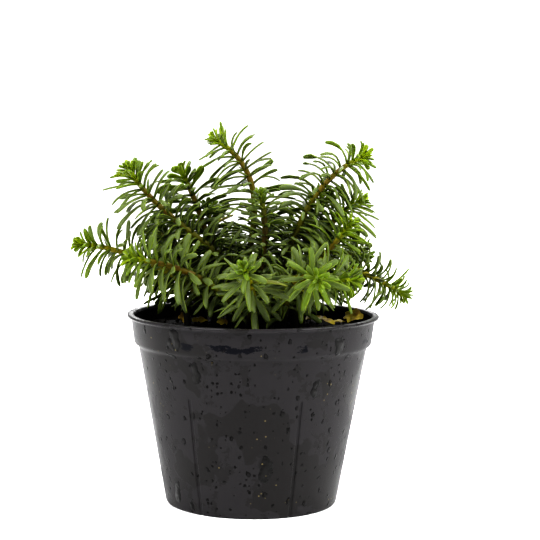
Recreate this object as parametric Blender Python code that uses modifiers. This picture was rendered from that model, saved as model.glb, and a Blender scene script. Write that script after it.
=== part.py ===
"""A clump of emersed rotala, an aquarium stem plant, in a 9 cm round plastic nursery pot.

Metres, +Z up. The origin is the centre of the pot's flat base, and -Y is the front.
"""

import math

import bmesh
import bpy
import numpy as np
from mathutils import Matrix, Vector, noise
from mathutils.bvhtree import BVHTree

MM = 0.001
GAP = 0.3 * MM  # clear air between neighbouring pieces

# Pot: a tapered body, a step out to the collar, and a flat rim flange
POT_HEIGHT = 68.0 * MM
BASE_RADIUS = 30.6 * MM
BODY_TOP_RADIUS = 40.8 * MM
BODY_TOP_Z = 56.2 * MM
COLLAR_LOW_RADIUS = 42.5 * MM
COLLAR_LOW_Z = 58.0 * MM
COLLAR_TOP_RADIUS = 43.4 * MM
RIM_RADIUS = 45.0 * MM
RIM_THICKNESS = 1.1 * MM
WALL = 0.9 * MM
FLOOR = 1.0 * MM
BASE_CORNER = 1.2 * MM
POT_STEPS = 40
GROOVE_COUNT = 6
GROOVE_WIDTH = 1.2 * MM
GROOVE_DEPTH = 0.4 * MM
GROOVE_TOP_Z = 42.0 * MM
GROOVE_FIRST_ANGLE = math.radians(-64.0)
DRAIN_COUNT = 6
DRAIN_RADIUS = 1.8 * MM
DRAIN_CIRCLE = 20.0 * MM

# Soil: peat that fills the pot to about 5 mm under its rim
SOIL_CENTRE_Z = 63.3 * MM
SOIL_EDGE_Z = 62.4 * MM
SOIL_BUMP = 0.7 * MM
SOIL_STEPS = 24
ROOT_Z = 57.0 * MM  # how deep the stems are planted

# Stems and leaves
SIDES = 6  # leaves in a whorl, and sides of a stem
STEM_TIP_RADIUS = 0.90 * MM
STEM_ROOT_RADIUS = 1.42 * MM
BUD_RADIUS = 1.9 * MM
BUD_REACH = 2.6 * MM  # how far the bud's leaves stand past the stem's tip
LEAF_WIDTH = 1.80 * MM
LEAF_FULL_LENGTH = 13.8 * MM
LEAF_BUD_LENGTH = 3.7 * MM
LEAF_BASE_HEIGHT = 0.60 * MM
LEAF_FIRST_ANGLES = (8.0, 60.0)  # degrees to the stem at a leaf's foot: in the bud, and how much it opens
LEAF_LAST_ANGLES = (22.0, 84.0)  # and at its tip
LEAF_GROWS_OVER = 5.0 * MM  # distances behind the stem's tip over which a leaf grows and opens
LEAF_OPENS_OVER = 4.0 * MM
LEAF_DROOP = 10.0  # a leaf's tip sinks by this times the square of its length, in metres
WHORL_TURN = 30.0  # degrees from one whorl to the next
WHORL_FIRST_GAP = 1.1 * MM
WHORL_MORE_GAP = 0.4 * MM  # each gap is wider than the last by this
WHORL_MOST_GAP = 2.9 * MM
FIRST_MARK = 4.8 * MM  # the whorls nearer the tip are fused in the bud
MARK_SPACING = 6.8 * MM  # of the whorls behind it, the ones nearest to marks this far apart are drawn out
BARE_FOOT = 15.0 * MM  # length of stem above the root that has lost its leaves
STRAIGHT_FOOT = 7.0 * MM  # the planted length, straight so that its hole fits it
HOLE_ROOM = 1.05 * MM  # from a stem to the corners of its square hole
STEM_CLEAR = 2.0 * MM  # other shoots' leaves keep this far from a stem's centre line
FIRST_SEED = 954

# The clear space over the soil where the pot is watered: low corner and high corner
WATERING_LOW = (-22.0 * MM, -34.0 * MM, 63.7 * MM)
WATERING_HIGH = (-16.0 * MM, -24.5 * MM, 68.5 * MM)

# Each shoot's centre line in mm: where it is planted (x, y), two Bezier handles, and its tip
SHOOTS = {
    "shoot_left_upper": ((3, 2), (6.5, -1.5, 88), (-27.5, -1, 92), (-44.5, -4, 119.2)),
    "shoot_top": ((-3, 3), (-9.5, 2.5, 83), (14.0, 3, 113.5), (-14.2, 6, 129.8)),
    "shoot_right_upper": ((9, 0), (8.5, 1, 76), (13, 3, 114), (39.3, 4, 124.5)),
    "shoot_left_low": ((-12, 3), (-10, 5, 73.5), (-39, 1.5, 91), (-62.4, 0, 92)),
    "shoot_right_low": ((16, 3), (8, 5.5, 97), (31.5, 6, 88), (55.2, 8, 74.2)),
    "shoot_left_front": ((-6, -8), (-4.5, -7, 77.5), (-21.5, -19.5, 86.5), (-42.5, -22, 89)),
    "shoot_right_front": ((5, -10), (5.5, -8, 78.5), (4.5, -20.5, 86), (34.5, -26, 82.5)),
    "shoot_front_right": ((10, -17), (9, -16, 77), (17, -22, 87), (21.5, -42, 84)),
    "shoot_front_centre": ((-2, -16), (-1, -17, 74), (2, -28, 76), (-3.2, -43.5, 88.0)),
    "shoot_left_middle": ((-4, 9), (-14, 11, 73.5), (-13.5, 11, 92.5), (-26.5, 14, 118)),
    "shoot_right_middle": ((16, 9), (20.5, 9.5, 73), (20, 9.5, 100.5), (38, 12, 107.5)),
    "shoot_right_inner": ((15, -2), (12.5, -5, 76), (22.5, -3, 85), (34, -7, 101)),
    "shoot_centre": ((4, -4), (-8, -4, 72), (9.5, -4, 84), (2, -7, 111)),
    "shoot_right_back": ((11, 12), (11, 13, 85), (21, 11, 93), (24.5, 8, 111)),
    "shoot_left_inner": ((-17, 10), (-18, 10, 76), (-27, 11, 84), (-35, 12, 100)),
    "shoot_back_centre": ((2, 10), (2, 11, 80), (4, 15, 90), (6, 20, 99)),
    "shoot_back_left": ((-8, 18), (-9, 18, 80), (-16, 17, 90), (-17, 19, 105)),
    "shoot_back_right": ((7, 20), (7, 21, 82), (12, 27, 94), (19, 36, 97)),
    "shoot_rear_left": ((-18, 16), (-18, 17, 82), (-26, 20, 92), (-38, 26, 96)),
    "shoot_rear_right": ((13.5, 17.5), (14, 18, 82), (26, 23, 90), (42, 28, 87)),
    "shoot_rear_low": ((-23, -1), (-23.5, -1, 75), (-27, 12, 86), (-38, 21, 82)),
    "shoot_rear_centre": ((-5, 23), (-5, 24, 80), (-6, 32, 88), (-9, 44, 90)),
}

# How a shoot's leaves differ from the usual
USUAL = {
    "reach": 1.0,  # length of the leaves, 1 is usual
    "width": 1.0,
    "gap": 1.0,  # space between whorls, 1 is usual
    "loss": 0.6,  # share of the oldest leaves that has dropped
    "lowest": 68.5,  # leaves that would hang lower than this, in mm, have dropped
    "spread": 0.0,  # degrees more that a leaf stands off from the stem
    "hook": 0.0,  # degrees more that its end turns back
}
OWN = {
    "shoot_top": {"hook": -12.0, "spread": 6.0},
    "shoot_left_upper": {"gap": 0.9, "hook": -6.0, "spread": -6.0, "width": 1.08},
    "shoot_left_low": {"reach": 0.9, "gap": 0.9, "spread": -4.0, "lowest": 76.0},
    "shoot_right_upper": {"reach": 1.05, "hook": 16.0},
    "shoot_right_low": {"reach": 0.78, "hook": 20.0, "gap": 0.68, "loss": 0.4, "width": 0.74},
    "shoot_left_front": {"width": 1.12, "loss": 0.2},
    "shoot_front_centre": {"gap": 1.45, "width": 1.28, "reach": 0.9, "loss": 0.9, "lowest": 64.0},
    "shoot_front_right": {"gap": 1.7, "width": 1.15, "loss": 0.9, "lowest": 66.5},
    "shoot_right_front": {"gap": 1.1},
    "shoot_centre": {"reach": 0.75, "gap": 1.2, "hook": -12.0},
    "shoot_back_centre": {"gap": 1.7},
    "shoot_back_left": {"gap": 1.3},
    "shoot_back_right": {"gap": 1.4},
    "shoot_left_middle": {"width": 1.35, "hook": -14.0, "loss": 0.2},
    "shoot_left_inner": {"width": 1.2},
    "shoot_right_middle": {"reach": 1.25, "gap": 0.9, "hook": -12.0, "spread": -6.0},
    "shoot_right_back": {"gap": 1.2, "hook": -12.0},
}

# Fallen leaves on the soil, in mm: centre, length, width, heading, tilt along and tilt across
FALLEN = {
    "fallen_leaf_wall": ((36.6, 7.0, 66.2), 10.2, 5.4, -54.0, 0.0, 48.0),
    "fallen_leaf_long": ((25.4, 8.4, 64.5), 12.4, 3.4, -50.0, 7.0, 6.0),
    "fallen_leaf_small": ((31.2, 7.3, 64.2), 4.8, 2.8, 14.0, 0.0, 8.0),
    "fallen_leaf_left": ((-24.8, 7.5, 65.0), 4.8, 4.2, 20.0, 0.0, 46.0),
    "fallen_leaf_low": ((-19.2, 3.6, 64.5), 5.6, 3.2, 8.0, 0.0, 30.0),
    "fallen_leaf_centre": ((-10.9, -3.2, 64.9), 4.2, 3.0, 15.0, 0.0, 42.0),
    "fallen_leaf_scrap": ((19.3, 14.5, 64.3), 4.6, 3.0, -35.0, 0.0, 12.0),
}

POT_COLOUR = (0.045, 0.043, 0.043, 1)
SOIL_COLOUR = (0.018, 0.014, 0.011, 1)
SHOOT_COLOUR = (0.10, 0.19, 0.045, 1)
FALLEN_COLOUR = (0.46, 0.31, 0.05, 1)


def new_collection(name, hidden=False):
    made = bpy.data.collections.new(name)
    bpy.context.scene.collection.children.link(made)
    made.hide_render = hidden
    return made


def new_material(name, colour, roughness, metallic=0.0):
    material = bpy.data.materials.new(name)
    material.use_nodes = True
    shader = material.node_tree.nodes["Principled BSDF"]
    shader.inputs["Base Color"].default_value = colour
    shader.inputs["Roughness"].default_value = roughness
    shader.inputs["Metallic"].default_value = metallic
    material.diffuse_color = colour
    return material


def place(name, mesh, collection, material, location=(0, 0, 0)):
    piece = bpy.data.objects.new(name, mesh)
    piece.location = location
    piece.parent = clump
    mesh.materials.append(material)
    collection.objects.link(piece)
    return piece


def turned(name, profile, steps, collection, material):
    """A profile in the XZ plane turned round Z; it runs down the outer side, top to bottom."""
    mesh = bpy.data.meshes.new(name)
    points = [(radius, 0.0, height) for radius, height in profile]
    mesh.from_pydata(points, [(i, i + 1) for i in range(len(points) - 1)], [])
    piece = place(name, mesh, collection, material)
    screw = piece.modifiers.new("Turn", "SCREW")
    screw.axis = "Z"
    screw.angle = math.tau
    screw.steps = steps
    screw.render_steps = steps
    screw.use_merge_vertices = True
    screw.merge_threshold = 0.00001
    return piece


def cut(piece, cutter):
    cutter.hide_render = True
    cutter.display_type = "WIRE"
    boolean = piece.modifiers.new("Cut", "BOOLEAN")
    boolean.operation = "DIFFERENCE"
    boolean.solver = "EXACT"
    boolean.object = cutter


def evaluated_mesh(piece):
    """The mesh of a piece as its modifiers leave it."""
    graph = bpy.context.evaluated_depsgraph_get()
    return bpy.data.meshes.new_from_object(piece.evaluated_get(graph))


def polygons_of(mesh):
    points = [vertex.co.copy() for vertex in mesh.vertices]
    return points, [tuple(polygon.vertices) for polygon in mesh.polygons]


def body_radius(height):
    """The body's outer radius, which grows evenly from the base to the step."""
    return BASE_RADIUS + (BODY_TOP_RADIUS - BASE_RADIUS) * height / BODY_TOP_Z


def inner_radius(height):
    """The pot's inner radius beside the soil."""
    if height < BODY_TOP_Z:
        return body_radius(height) - WALL
    share = (height - COLLAR_LOW_Z) / (POT_HEIGHT - COLLAR_LOW_Z)
    return COLLAR_LOW_RADIUS - WALL + (COLLAR_TOP_RADIUS - COLLAR_LOW_RADIUS) * max(share, 0.0)


def make_pot(collection, cutters):
    under_rim = POT_HEIGHT - RIM_THICKNESS
    profile = [
        (0.0, FLOOR),
        (body_radius(FLOOR) - WALL - 0.3 * MM, FLOOR),
        (BODY_TOP_RADIUS - WALL, BODY_TOP_Z + 0.3 * MM),
        (COLLAR_LOW_RADIUS - WALL, COLLAR_LOW_Z + 0.5 * MM),
        (COLLAR_TOP_RADIUS - WALL, POT_HEIGHT),
        (RIM_RADIUS - 0.4 * MM, POT_HEIGHT),
        (RIM_RADIUS, POT_HEIGHT - 0.45 * MM),
        (RIM_RADIUS - 0.2 * MM, under_rim),
        (COLLAR_TOP_RADIUS, under_rim - 0.2 * MM),
        (COLLAR_LOW_RADIUS, COLLAR_LOW_Z),
        (BODY_TOP_RADIUS, BODY_TOP_Z),
        (body_radius(BASE_CORNER), BASE_CORNER),
        (BASE_RADIUS - 0.6 * MM, 0.0),
        (0.0, 0.0),
    ]
    material = new_material("black_pot_plastic", POT_COLOUR, 0.38)
    pot = turned("pot", profile, POT_STEPS, collection, material)

    form = bmesh.new()
    slope = math.atan2(BODY_TOP_RADIUS - BASE_RADIUS, BODY_TOP_Z)
    middle = 0.5 * (GROOVE_TOP_Z - 2.0 * MM)
    for i in range(GROOVE_COUNT):
        angle = GROOVE_FIRST_ANGLE + i * math.tau / GROOVE_COUNT
        depth = 4.0 * MM
        out = body_radius(middle) - GROOVE_DEPTH + depth / 2
        place_at = Matrix.Rotation(angle, 4, "Z") @ Matrix.Translation((out, 0, middle))
        lean = Matrix.Rotation(slope, 4, "Y")
        size = Matrix.Diagonal((depth, GROOVE_WIDTH, GROOVE_TOP_Z + 2.0 * MM, 1.0))
        bmesh.ops.create_cube(form, size=1.0, matrix=place_at @ lean @ size)
    for i in range(DRAIN_COUNT):
        angle = (i + 0.5) * math.tau / DRAIN_COUNT
        spot = Matrix.Rotation(angle, 4, "Z") @ Matrix.Translation((DRAIN_CIRCLE, 0, 0))
        bmesh.ops.create_cone(
            form,
            cap_ends=True,
            segments=8,
            radius1=DRAIN_RADIUS,
            radius2=DRAIN_RADIUS,
            depth=4.0 * MM,
            matrix=spot,
        )
    mesh = bpy.data.meshes.new("pot_cutter")
    form.to_mesh(mesh)
    form.free()
    cutter = bpy.data.objects.new("pot_cutter", mesh)
    cutters.objects.link(cutter)
    cut(pot, cutter)
    return pot


def soil_height(x, y):
    """A shallow dome with small lumps."""
    share = math.hypot(x, y) / inner_radius(SOIL_EDGE_Z)
    dome = SOIL_CENTRE_Z + (SOIL_EDGE_Z - SOIL_CENTRE_Z) * share * share
    lump = noise.noise(Vector((x / (9.0 * MM), y / (9.0 * MM), 3.7)))
    return dome + SOIL_BUMP * lump


def make_soil(collection, cutters):
    side = GAP + 0.12 * MM
    top = inner_radius(SOIL_EDGE_Z) - side
    profile = [
        (0.0, SOIL_CENTRE_Z),
        (0.36 * top, SOIL_CENTRE_Z),
        (0.70 * top, SOIL_CENTRE_Z),
        (top, SOIL_CENTRE_Z),
        (inner_radius(COLLAR_LOW_Z) - side, COLLAR_LOW_Z + 0.9 * MM),
        (inner_radius(BODY_TOP_Z - 0.01 * MM) - side - 0.1 * MM, BODY_TOP_Z + 0.5 * MM),
        (body_radius(FLOOR) - WALL - 0.8 * MM, FLOOR + GAP + 0.05 * MM),
        (0.0, FLOOR + GAP + 0.05 * MM),
    ]
    material = new_material("dark_peat", SOIL_COLOUR, 0.95)
    guide = turned("soil_guide", profile, SOIL_STEPS, collection, material)
    mesh = evaluated_mesh(guide)
    bpy.data.objects.remove(guide)
    for vertex in mesh.vertices:
        if vertex.co.z > SOIL_CENTRE_Z - 0.01 * MM:
            vertex.co.z = soil_height(vertex.co.x, vertex.co.y)
    mesh.materials.clear()
    soil = place("soil", mesh, collection, material)

    form = bmesh.new()
    for row in SHOOTS.values():
        line = CentreLine(row)
        foot = line.at(0.0)
        above = line.at(STRAIGHT_FOOT)
        along = (above - foot).normalized()
        length = 11.0 * MM
        spot = Matrix.Translation(foot + along * (0.5 * length - 0.4 * MM))
        turn = along.to_track_quat("Z", "Y").to_matrix().to_4x4()
        bmesh.ops.create_cone(
            form,
            cap_ends=True,
            segments=4,
            radius1=STEM_ROOT_RADIUS + HOLE_ROOM,
            radius2=STEM_ROOT_RADIUS + HOLE_ROOM,
            depth=length,
            matrix=spot @ turn,
        )
    hole_mesh = bpy.data.meshes.new("planting_holes")
    form.to_mesh(hole_mesh)
    form.free()
    holes = bpy.data.objects.new("planting_holes", hole_mesh)
    cutters.objects.link(holes)
    cut(soil, holes)
    return soil


def make_fallen(name, row, collection, material):
    """A dry curled leaf: a small grid pulled to an oval, arched, and given thickness."""
    centre, length, width, heading, along, across = row
    bpy.ops.mesh.primitive_grid_add(x_subdivisions=4, y_subdivisions=2, size=2.0)
    guide = bpy.context.object
    mesh = guide.data
    for vertex in mesh.vertices:
        x, y = vertex.co.x, vertex.co.y
        narrow = 1.0 - 0.55 * x * x
        wave = noise.noise(Vector((x * 1.7, y * 1.3, centre[0]))) * 0.35
        vertex.co = Vector((x * length / 2, y * narrow * width / 2, 0.0)) * MM
        vertex.co.z = (0.06 * length * (1.0 - x * x) + 0.10 * width * y * y + wave) * MM
    bpy.data.objects.remove(guide)
    mesh.name = name
    piece = place(name, mesh, collection, material, Vector(centre) * MM)
    piece.rotation_euler = [math.radians(a) for a in (across, along, heading)]
    solidify = piece.modifiers.new("Thickness", "SOLIDIFY")
    solidify.thickness = 0.45 * MM
    solidify.offset = 0.0
    return piece


class CentreLine:
    """A shoot's Bezier centre line, measured by length, with a frame that doesn't twist."""

    samples = 240

    def __init__(self, row):
        root, first, second, tip = row
        ends = np.array([(*root, ROOT_Z / MM), first, second, tip], float) * MM
        t = np.linspace(0.0, 1.0, self.samples)[:, None]
        self.points = (
            (1 - t) ** 3 * ends[0]
            + 3 * (1 - t) ** 2 * t * ends[1]
            + 3 * (1 - t) * t**2 * ends[2]
            + t**3 * ends[3]
        )
        steps = np.linalg.norm(np.diff(self.points, axis=0), axis=1)
        self.lengths = np.concatenate([[0.0], np.cumsum(steps)])
        self.length = float(self.lengths[-1])
        heading = ends[3] - ends[0]
        heading[2] = 0.0
        heading /= np.linalg.norm(heading)
        self.flat_side = Vector((heading[1], -heading[0], 0.0))

    def at(self, length):
        """The point this far from the root; past either end it runs on straight."""
        inside = min(max(length, 0.0), self.length)
        point = [np.interp(inside, self.lengths, self.points[:, i]) for i in range(3)]
        if inside == length:
            return Vector(point)
        return Vector(point) + self.along(inside) * (length - inside)

    def along(self, length):
        step = 0.4 * MM
        low = min(max(length - step, 0.0), self.length - 2 * step)
        return (self.at(low + 2 * step) - self.at(low)).normalized()

    def frame(self, length):
        """Centre, direction, and two directions across the stem."""
        along = self.along(length)
        side = (self.flat_side - along * self.flat_side.dot(along)).normalized()
        return self.at(length), along, side, along.cross(side)


def whorl_distances(length, gap):
    """Distances of the whorls from the tip: crowded in the bud, then evenly spaced."""
    found = [0.0]
    while found[-1] < length:
        even = WHORL_FIRST_GAP + WHORL_MORE_GAP * (len(found) - 1)
        found.append(found[-1] + min(WHORL_MOST_GAP, even) * gap)
    return found[:-1]


def drawn_out(distances):
    """Which whorls have leaves of their own here: those nearest to evenly spaced marks."""
    marks = np.arange(FIRST_MARK, distances[-1] + MARK_SPACING / 2, MARK_SPACING)
    return {int(np.argmin(np.abs(np.array(distances) - mark))) for mark in marks}


def leaf_form(distance, look):
    """Length, start angle and end angle to the stem of a leaf this far behind the tip."""
    grown = 1 - math.exp(-((distance / LEAF_GROWS_OVER) ** 1.5))
    length = LEAF_BUD_LENGTH + (LEAF_FULL_LENGTH - LEAF_BUD_LENGTH) * grown
    opening = 1 - math.exp(-(distance + 1.2 * MM) / LEAF_OPENS_OVER)
    first_angle = LEAF_FIRST_ANGLES[0] + (LEAF_FIRST_ANGLES[1] + look["spread"]) * opening
    last_angle = LEAF_LAST_ANGLES[0] + (LEAF_LAST_ANGLES[1] + look["hook"]) * opening
    return length, first_angle, last_angle


def leaf_tip(start, along, out, length, first_angle, last_angle):
    """Where a leaf ends that leaves the stem at one angle, bends back and droops."""
    steps = 8
    point = start.copy()
    for i in range(steps):
        share = (i + 0.5) / steps
        angle = math.radians(first_angle + (last_angle - first_angle) * share**1.2)
        point += (along * math.cos(angle) + out * math.sin(angle)) * (length / steps)
    point.z -= LEAF_DROOP * length * length
    return point


def stem_radius(share):
    return STEM_ROOT_RADIUS + (STEM_TIP_RADIUS - STEM_ROOT_RADIUS) * share


def ring(form, line, length, radius, turn):
    """Six edges round the stem whose sides face the whorl's leaves."""
    centre, along, side, up = line.frame(length)
    made = []
    for i in range(SIDES):
        angle = math.radians(turn + (i + 0.5) * 360.0 / SIDES)
        made.append(form.verts.new(centre + (side * math.cos(angle) + up * math.sin(angle)) * radius))
    return [form.edges.new((made[i], made[(i + 1) % SIDES])) for i in range(SIDES)]


def wedge(start, tip, across, width, clear):
    """The corners and faces of a leaf blade with clear air all round it."""
    way = (tip - start).normalized()
    thickness_way = way.cross(across).normalized()
    near = start + way * (STEM_CLEAR - STEM_ROOT_RADIUS)
    far = tip + way * clear
    wide = across * (width / 2 + clear)
    thick = thickness_way * (LEAF_BASE_HEIGHT / 2 + clear)
    thin = thickness_way * clear
    corners = [near - wide * 0.8 - thick, near + wide * 0.8 - thick]
    corners += [near + wide * 0.8 + thick, near - wide * 0.8 + thick]
    corners += [far - wide - thin, far + wide - thin, far + wide + thin, far - wide + thin]
    faces = [(0, 1, 2, 3), (4, 5, 6, 7), (0, 1, 5, 4), (1, 2, 6, 5), (2, 3, 7, 6), (3, 0, 4, 7)]
    return corners, faces


class Neighbours:
    """What the leaves keep clear of: fixed pieces, other shoots' stems, and leaves in place."""

    def __init__(self, fixed, lines):
        self.fixed = fixed
        self.tubes = {name: self.tube(line) for name, line in lines.items()}
        self.points = []
        self.faces = []
        self.leaves = None

    def tube(self, line):
        points = []
        faces = []
        count = 24
        for i in range(count):
            centre, along, side, up = line.frame((line.length + BUD_REACH + GAP) * i / (count - 1))
            for j in range(SIDES):
                angle = j * math.tau / SIDES
                points.append(centre + (side * math.cos(angle) + up * math.sin(angle)) * STEM_CLEAR)
        for i in range(count - 1):
            for j in range(SIDES):
                a, b = i * SIDES + j, i * SIDES + (j + 1) % SIDES
                faces.append((a, b, b + SIDES, a + SIDES))
        return points, faces

    def start_shoot(self, name):
        points, faces = [], []
        for found in [self.fixed] + [tube for other, tube in self.tubes.items() if other != name]:
            faces += [tuple(i + len(points) for i in face) for face in found[1]]
            points += found[0]
        self.still = BVHTree.FromPolygons(points, faces)

    def clear(self, corners, faces):
        candidate = BVHTree.FromPolygons(corners, faces)
        if self.still.overlap(candidate):
            return False
        return self.leaves is None or not self.leaves.overlap(candidate)

    def add(self, corners, faces):
        self.faces += [tuple(i + len(self.points) for i in face) for face in faces]
        self.points += corners
        self.leaves = BVHTree.FromPolygons(self.points, self.faces)


def grow_whorl(form, faces, line, distance, turn, chance, look, neighbours):
    """Draws each side of the stem out into a flat leaf, where there is room for it."""
    centre, along, side, up = line.frame(line.length - distance)
    full, first_angle, last_angle = leaf_form(distance, look)
    width = LEAF_WIDTH * look["width"]
    for face in faces:
        start = face.calc_center_median()
        out = start - centre
        out = (out - along * out.dot(along)).normalized()
        azimuth = math.degrees(math.atan2(out.dot(up), out.dot(side)))
        i = round((azimuth - turn) / (360.0 / SIDES)) % SIDES
        if not chance["kept"][i]:
            continue
        for reach in (1.0, 0.75, 0.5, 0.32):
            found = None
            for swing in (0.0, 12.0, -12.0, 24.0, -24.0):
                angle = math.radians(turn + i * 360.0 / SIDES + chance["swing"][i] + swing)
                way = side * math.cos(angle) + up * math.sin(angle)
                tip = leaf_tip(
                    start,
                    along,
                    way,
                    full * chance["reach"][i] * look["reach"] * reach,
                    first_angle + chance["open"][i],
                    last_angle + chance["curl"][i],
                )
                across = along.cross(way)
                if neighbours.clear(*wedge(start, tip, across, width, GAP + 0.05 * MM)):
                    found = (tip, across)
                    break
            if found:
                break
        if not found or found[0].z < look["lowest"] * MM:
            continue
        tip, across = found
        neighbours.add(*wedge(start, tip, across, width, 0.0))
        drawn = bmesh.ops.extrude_discrete_faces(form, faces=[face])["faces"][0]
        corners = list(drawn.verts)
        for corner in corners:
            hand = 1.0 if (corner.co - start).dot(across) > 0 else -1.0
            corner.co = tip + across * (hand * width / 2)
        bmesh.ops.remove_doubles(form, verts=corners, dist=0.01 * MM)


def make_shoot(name, line, seed, collection, material, neighbours):
    """A stem bridged ring by ring from its root to its bud, with leaves drawn out of its sides."""
    neighbours.start_shoot(name)
    look = {**USUAL, **OWN.get(name, {})}
    random = np.random.default_rng(seed)
    turn = random.uniform(0.0, 360.0)
    distances = whorl_distances(line.length - BARE_FOOT, look["gap"])
    chosen = drawn_out(distances)
    whorls = []
    for k, distance in enumerate(distances):
        turn += WHORL_TURN + random.uniform(-6.0, 6.0)
        age = distance / line.length
        chance = {
            "swing": random.normal(0.0, 5.0, SIDES),
            "reach": random.uniform(0.82, 1.08, SIDES),
            "open": random.normal(0.0, 5.0, SIDES),
            "curl": random.normal(0.0, 12.0, SIDES),
            "kept": random.random(SIDES) > look["loss"] * max(age - 0.35, 0.0),
        }
        if k in chosen:
            whorls.append((distance, turn, chance))

    form = bmesh.new()
    last_turn = whorls[-1][1]
    lower = ring(form, line, 0.0, STEM_ROOT_RADIUS, last_turn)
    bmesh.ops.contextual_create(form, geom=lower)
    ground = ring(form, line, STRAIGHT_FOOT, STEM_ROOT_RADIUS, last_turn)
    bmesh.ops.bridge_loops(form, edges=lower + ground)
    lower = ground
    for distance, whorl_turn, chance in reversed(whorls):
        length = line.length - distance
        radius = stem_radius(length / line.length)
        half = LEAF_BASE_HEIGHT / 2
        under = ring(form, line, length - half, radius, whorl_turn)
        over = ring(form, line, length + half, radius, whorl_turn)
        bmesh.ops.bridge_loops(form, edges=lower + under)
        sides = bmesh.ops.bridge_loops(form, edges=under + over)["faces"]
        grow_whorl(form, sides, line, distance, whorl_turn, chance, look, neighbours)
        lower = over
    first_turn = whorls[0][1]
    for back, share in ((1.6 * MM, 0.9), (-0.8 * MM, 1.0), (-BUD_REACH, 0.45)):
        upper = ring(form, line, line.length - back, share * BUD_RADIUS, first_turn)
        bmesh.ops.bridge_loops(form, edges=lower + upper)
        lower = upper
    bmesh.ops.contextual_create(form, geom=lower)
    bmesh.ops.recalc_face_normals(form, faces=form.faces)
    foot = line.at(0.0)
    bmesh.ops.translate(form, verts=form.verts, vec=-foot)
    mesh = bpy.data.meshes.new(name)
    form.to_mesh(mesh)
    form.free()
    return place(name, mesh, collection, material, foot)


def box_faces(low, high):
    spans = list(zip(low, high))
    points = [Vector((x, y, z)) for x in spans[0] for y in spans[1] for z in spans[2]]
    faces = [(0, 1, 3, 2), (4, 5, 7, 6), (0, 1, 5, 4), (2, 3, 7, 6), (0, 2, 6, 4), (1, 3, 7, 5)]
    return points, faces


for old in list(bpy.data.objects):
    bpy.data.objects.remove(old)

parts = new_collection("vietnam_rotala")
cutters = new_collection("cutters", hidden=True)
clump = bpy.data.objects.new("potted_clump", None)
parts.objects.link(clump)

pot = make_pot(parts, cutters)
soil = make_soil(parts, cutters)
dry = new_material("dry_leaf", FALLEN_COLOUR, 0.7)
fallen = [make_fallen(name, row, parts, dry) for name, row in FALLEN.items()]

bpy.context.view_layer.update()
points, faces = box_faces(WATERING_LOW, WATERING_HIGH)
for piece in [pot, soil] + fallen:
    more, sides = polygons_of(evaluated_mesh(piece))
    faces += [tuple(i + len(points) for i in face) for face in sides]
    points += [piece.matrix_world @ point for point in more]
lines = {name: CentreLine(row) for name, row in SHOOTS.items()}
neighbours = Neighbours((points, faces), lines)
green = new_material("rotala_green", SHOOT_COLOUR, 0.45)
for number, (name, line) in enumerate(lines.items()):
    make_shoot(name, line, FIRST_SEED + number, parts, green, neighbours)
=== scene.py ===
import math

import bpy
import numpy as np
from mathutils import Matrix


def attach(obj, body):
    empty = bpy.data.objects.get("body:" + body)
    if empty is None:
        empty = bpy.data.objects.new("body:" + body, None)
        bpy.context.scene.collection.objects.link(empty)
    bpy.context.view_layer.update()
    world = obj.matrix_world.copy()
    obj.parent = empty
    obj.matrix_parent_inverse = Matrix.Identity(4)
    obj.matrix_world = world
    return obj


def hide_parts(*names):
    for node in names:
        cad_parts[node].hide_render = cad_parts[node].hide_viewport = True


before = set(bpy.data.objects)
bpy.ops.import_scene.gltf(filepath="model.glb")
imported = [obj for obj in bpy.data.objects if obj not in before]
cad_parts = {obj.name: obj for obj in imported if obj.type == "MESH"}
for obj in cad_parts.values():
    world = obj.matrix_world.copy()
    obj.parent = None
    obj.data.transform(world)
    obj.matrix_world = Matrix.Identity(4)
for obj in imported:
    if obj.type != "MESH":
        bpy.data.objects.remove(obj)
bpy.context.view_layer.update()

mm = 0.001


print("solids loaded:", len(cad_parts))


# small helpers for arrays of vectors

def unit(v):
    # v divided by its length
    return v / np.linalg.norm(v, axis=-1, keepdims=True)


def smoothStep(low, high, x):
    # 0 below low, 1 above high, and 3t^2 - 2t^3 between
    t = np.clip((x - low) / (high - low), 0.0, 1.0)
    return t * t * (3 - 2 * t)


def waves(x, y, seed, count, shortest, longest):
    # a bumpy field of size near 1: the sum of sines in random directions, with wavelengths
    # between shortest and longest
    draw = np.random.default_rng(seed)
    angle = draw.uniform(0, 2 * np.pi, count)
    length = np.exp(draw.uniform(np.log(shortest), np.log(longest), count))
    phase = draw.uniform(0, 2 * np.pi, count)
    total = np.zeros(np.shape(x))
    for a, l, p in zip(angle, length, phase):
        total = total + np.sin((x * np.cos(a) + y * np.sin(a)) * 2 * np.pi / l + p)
    return total * math.sqrt(2.0 / count)


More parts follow.
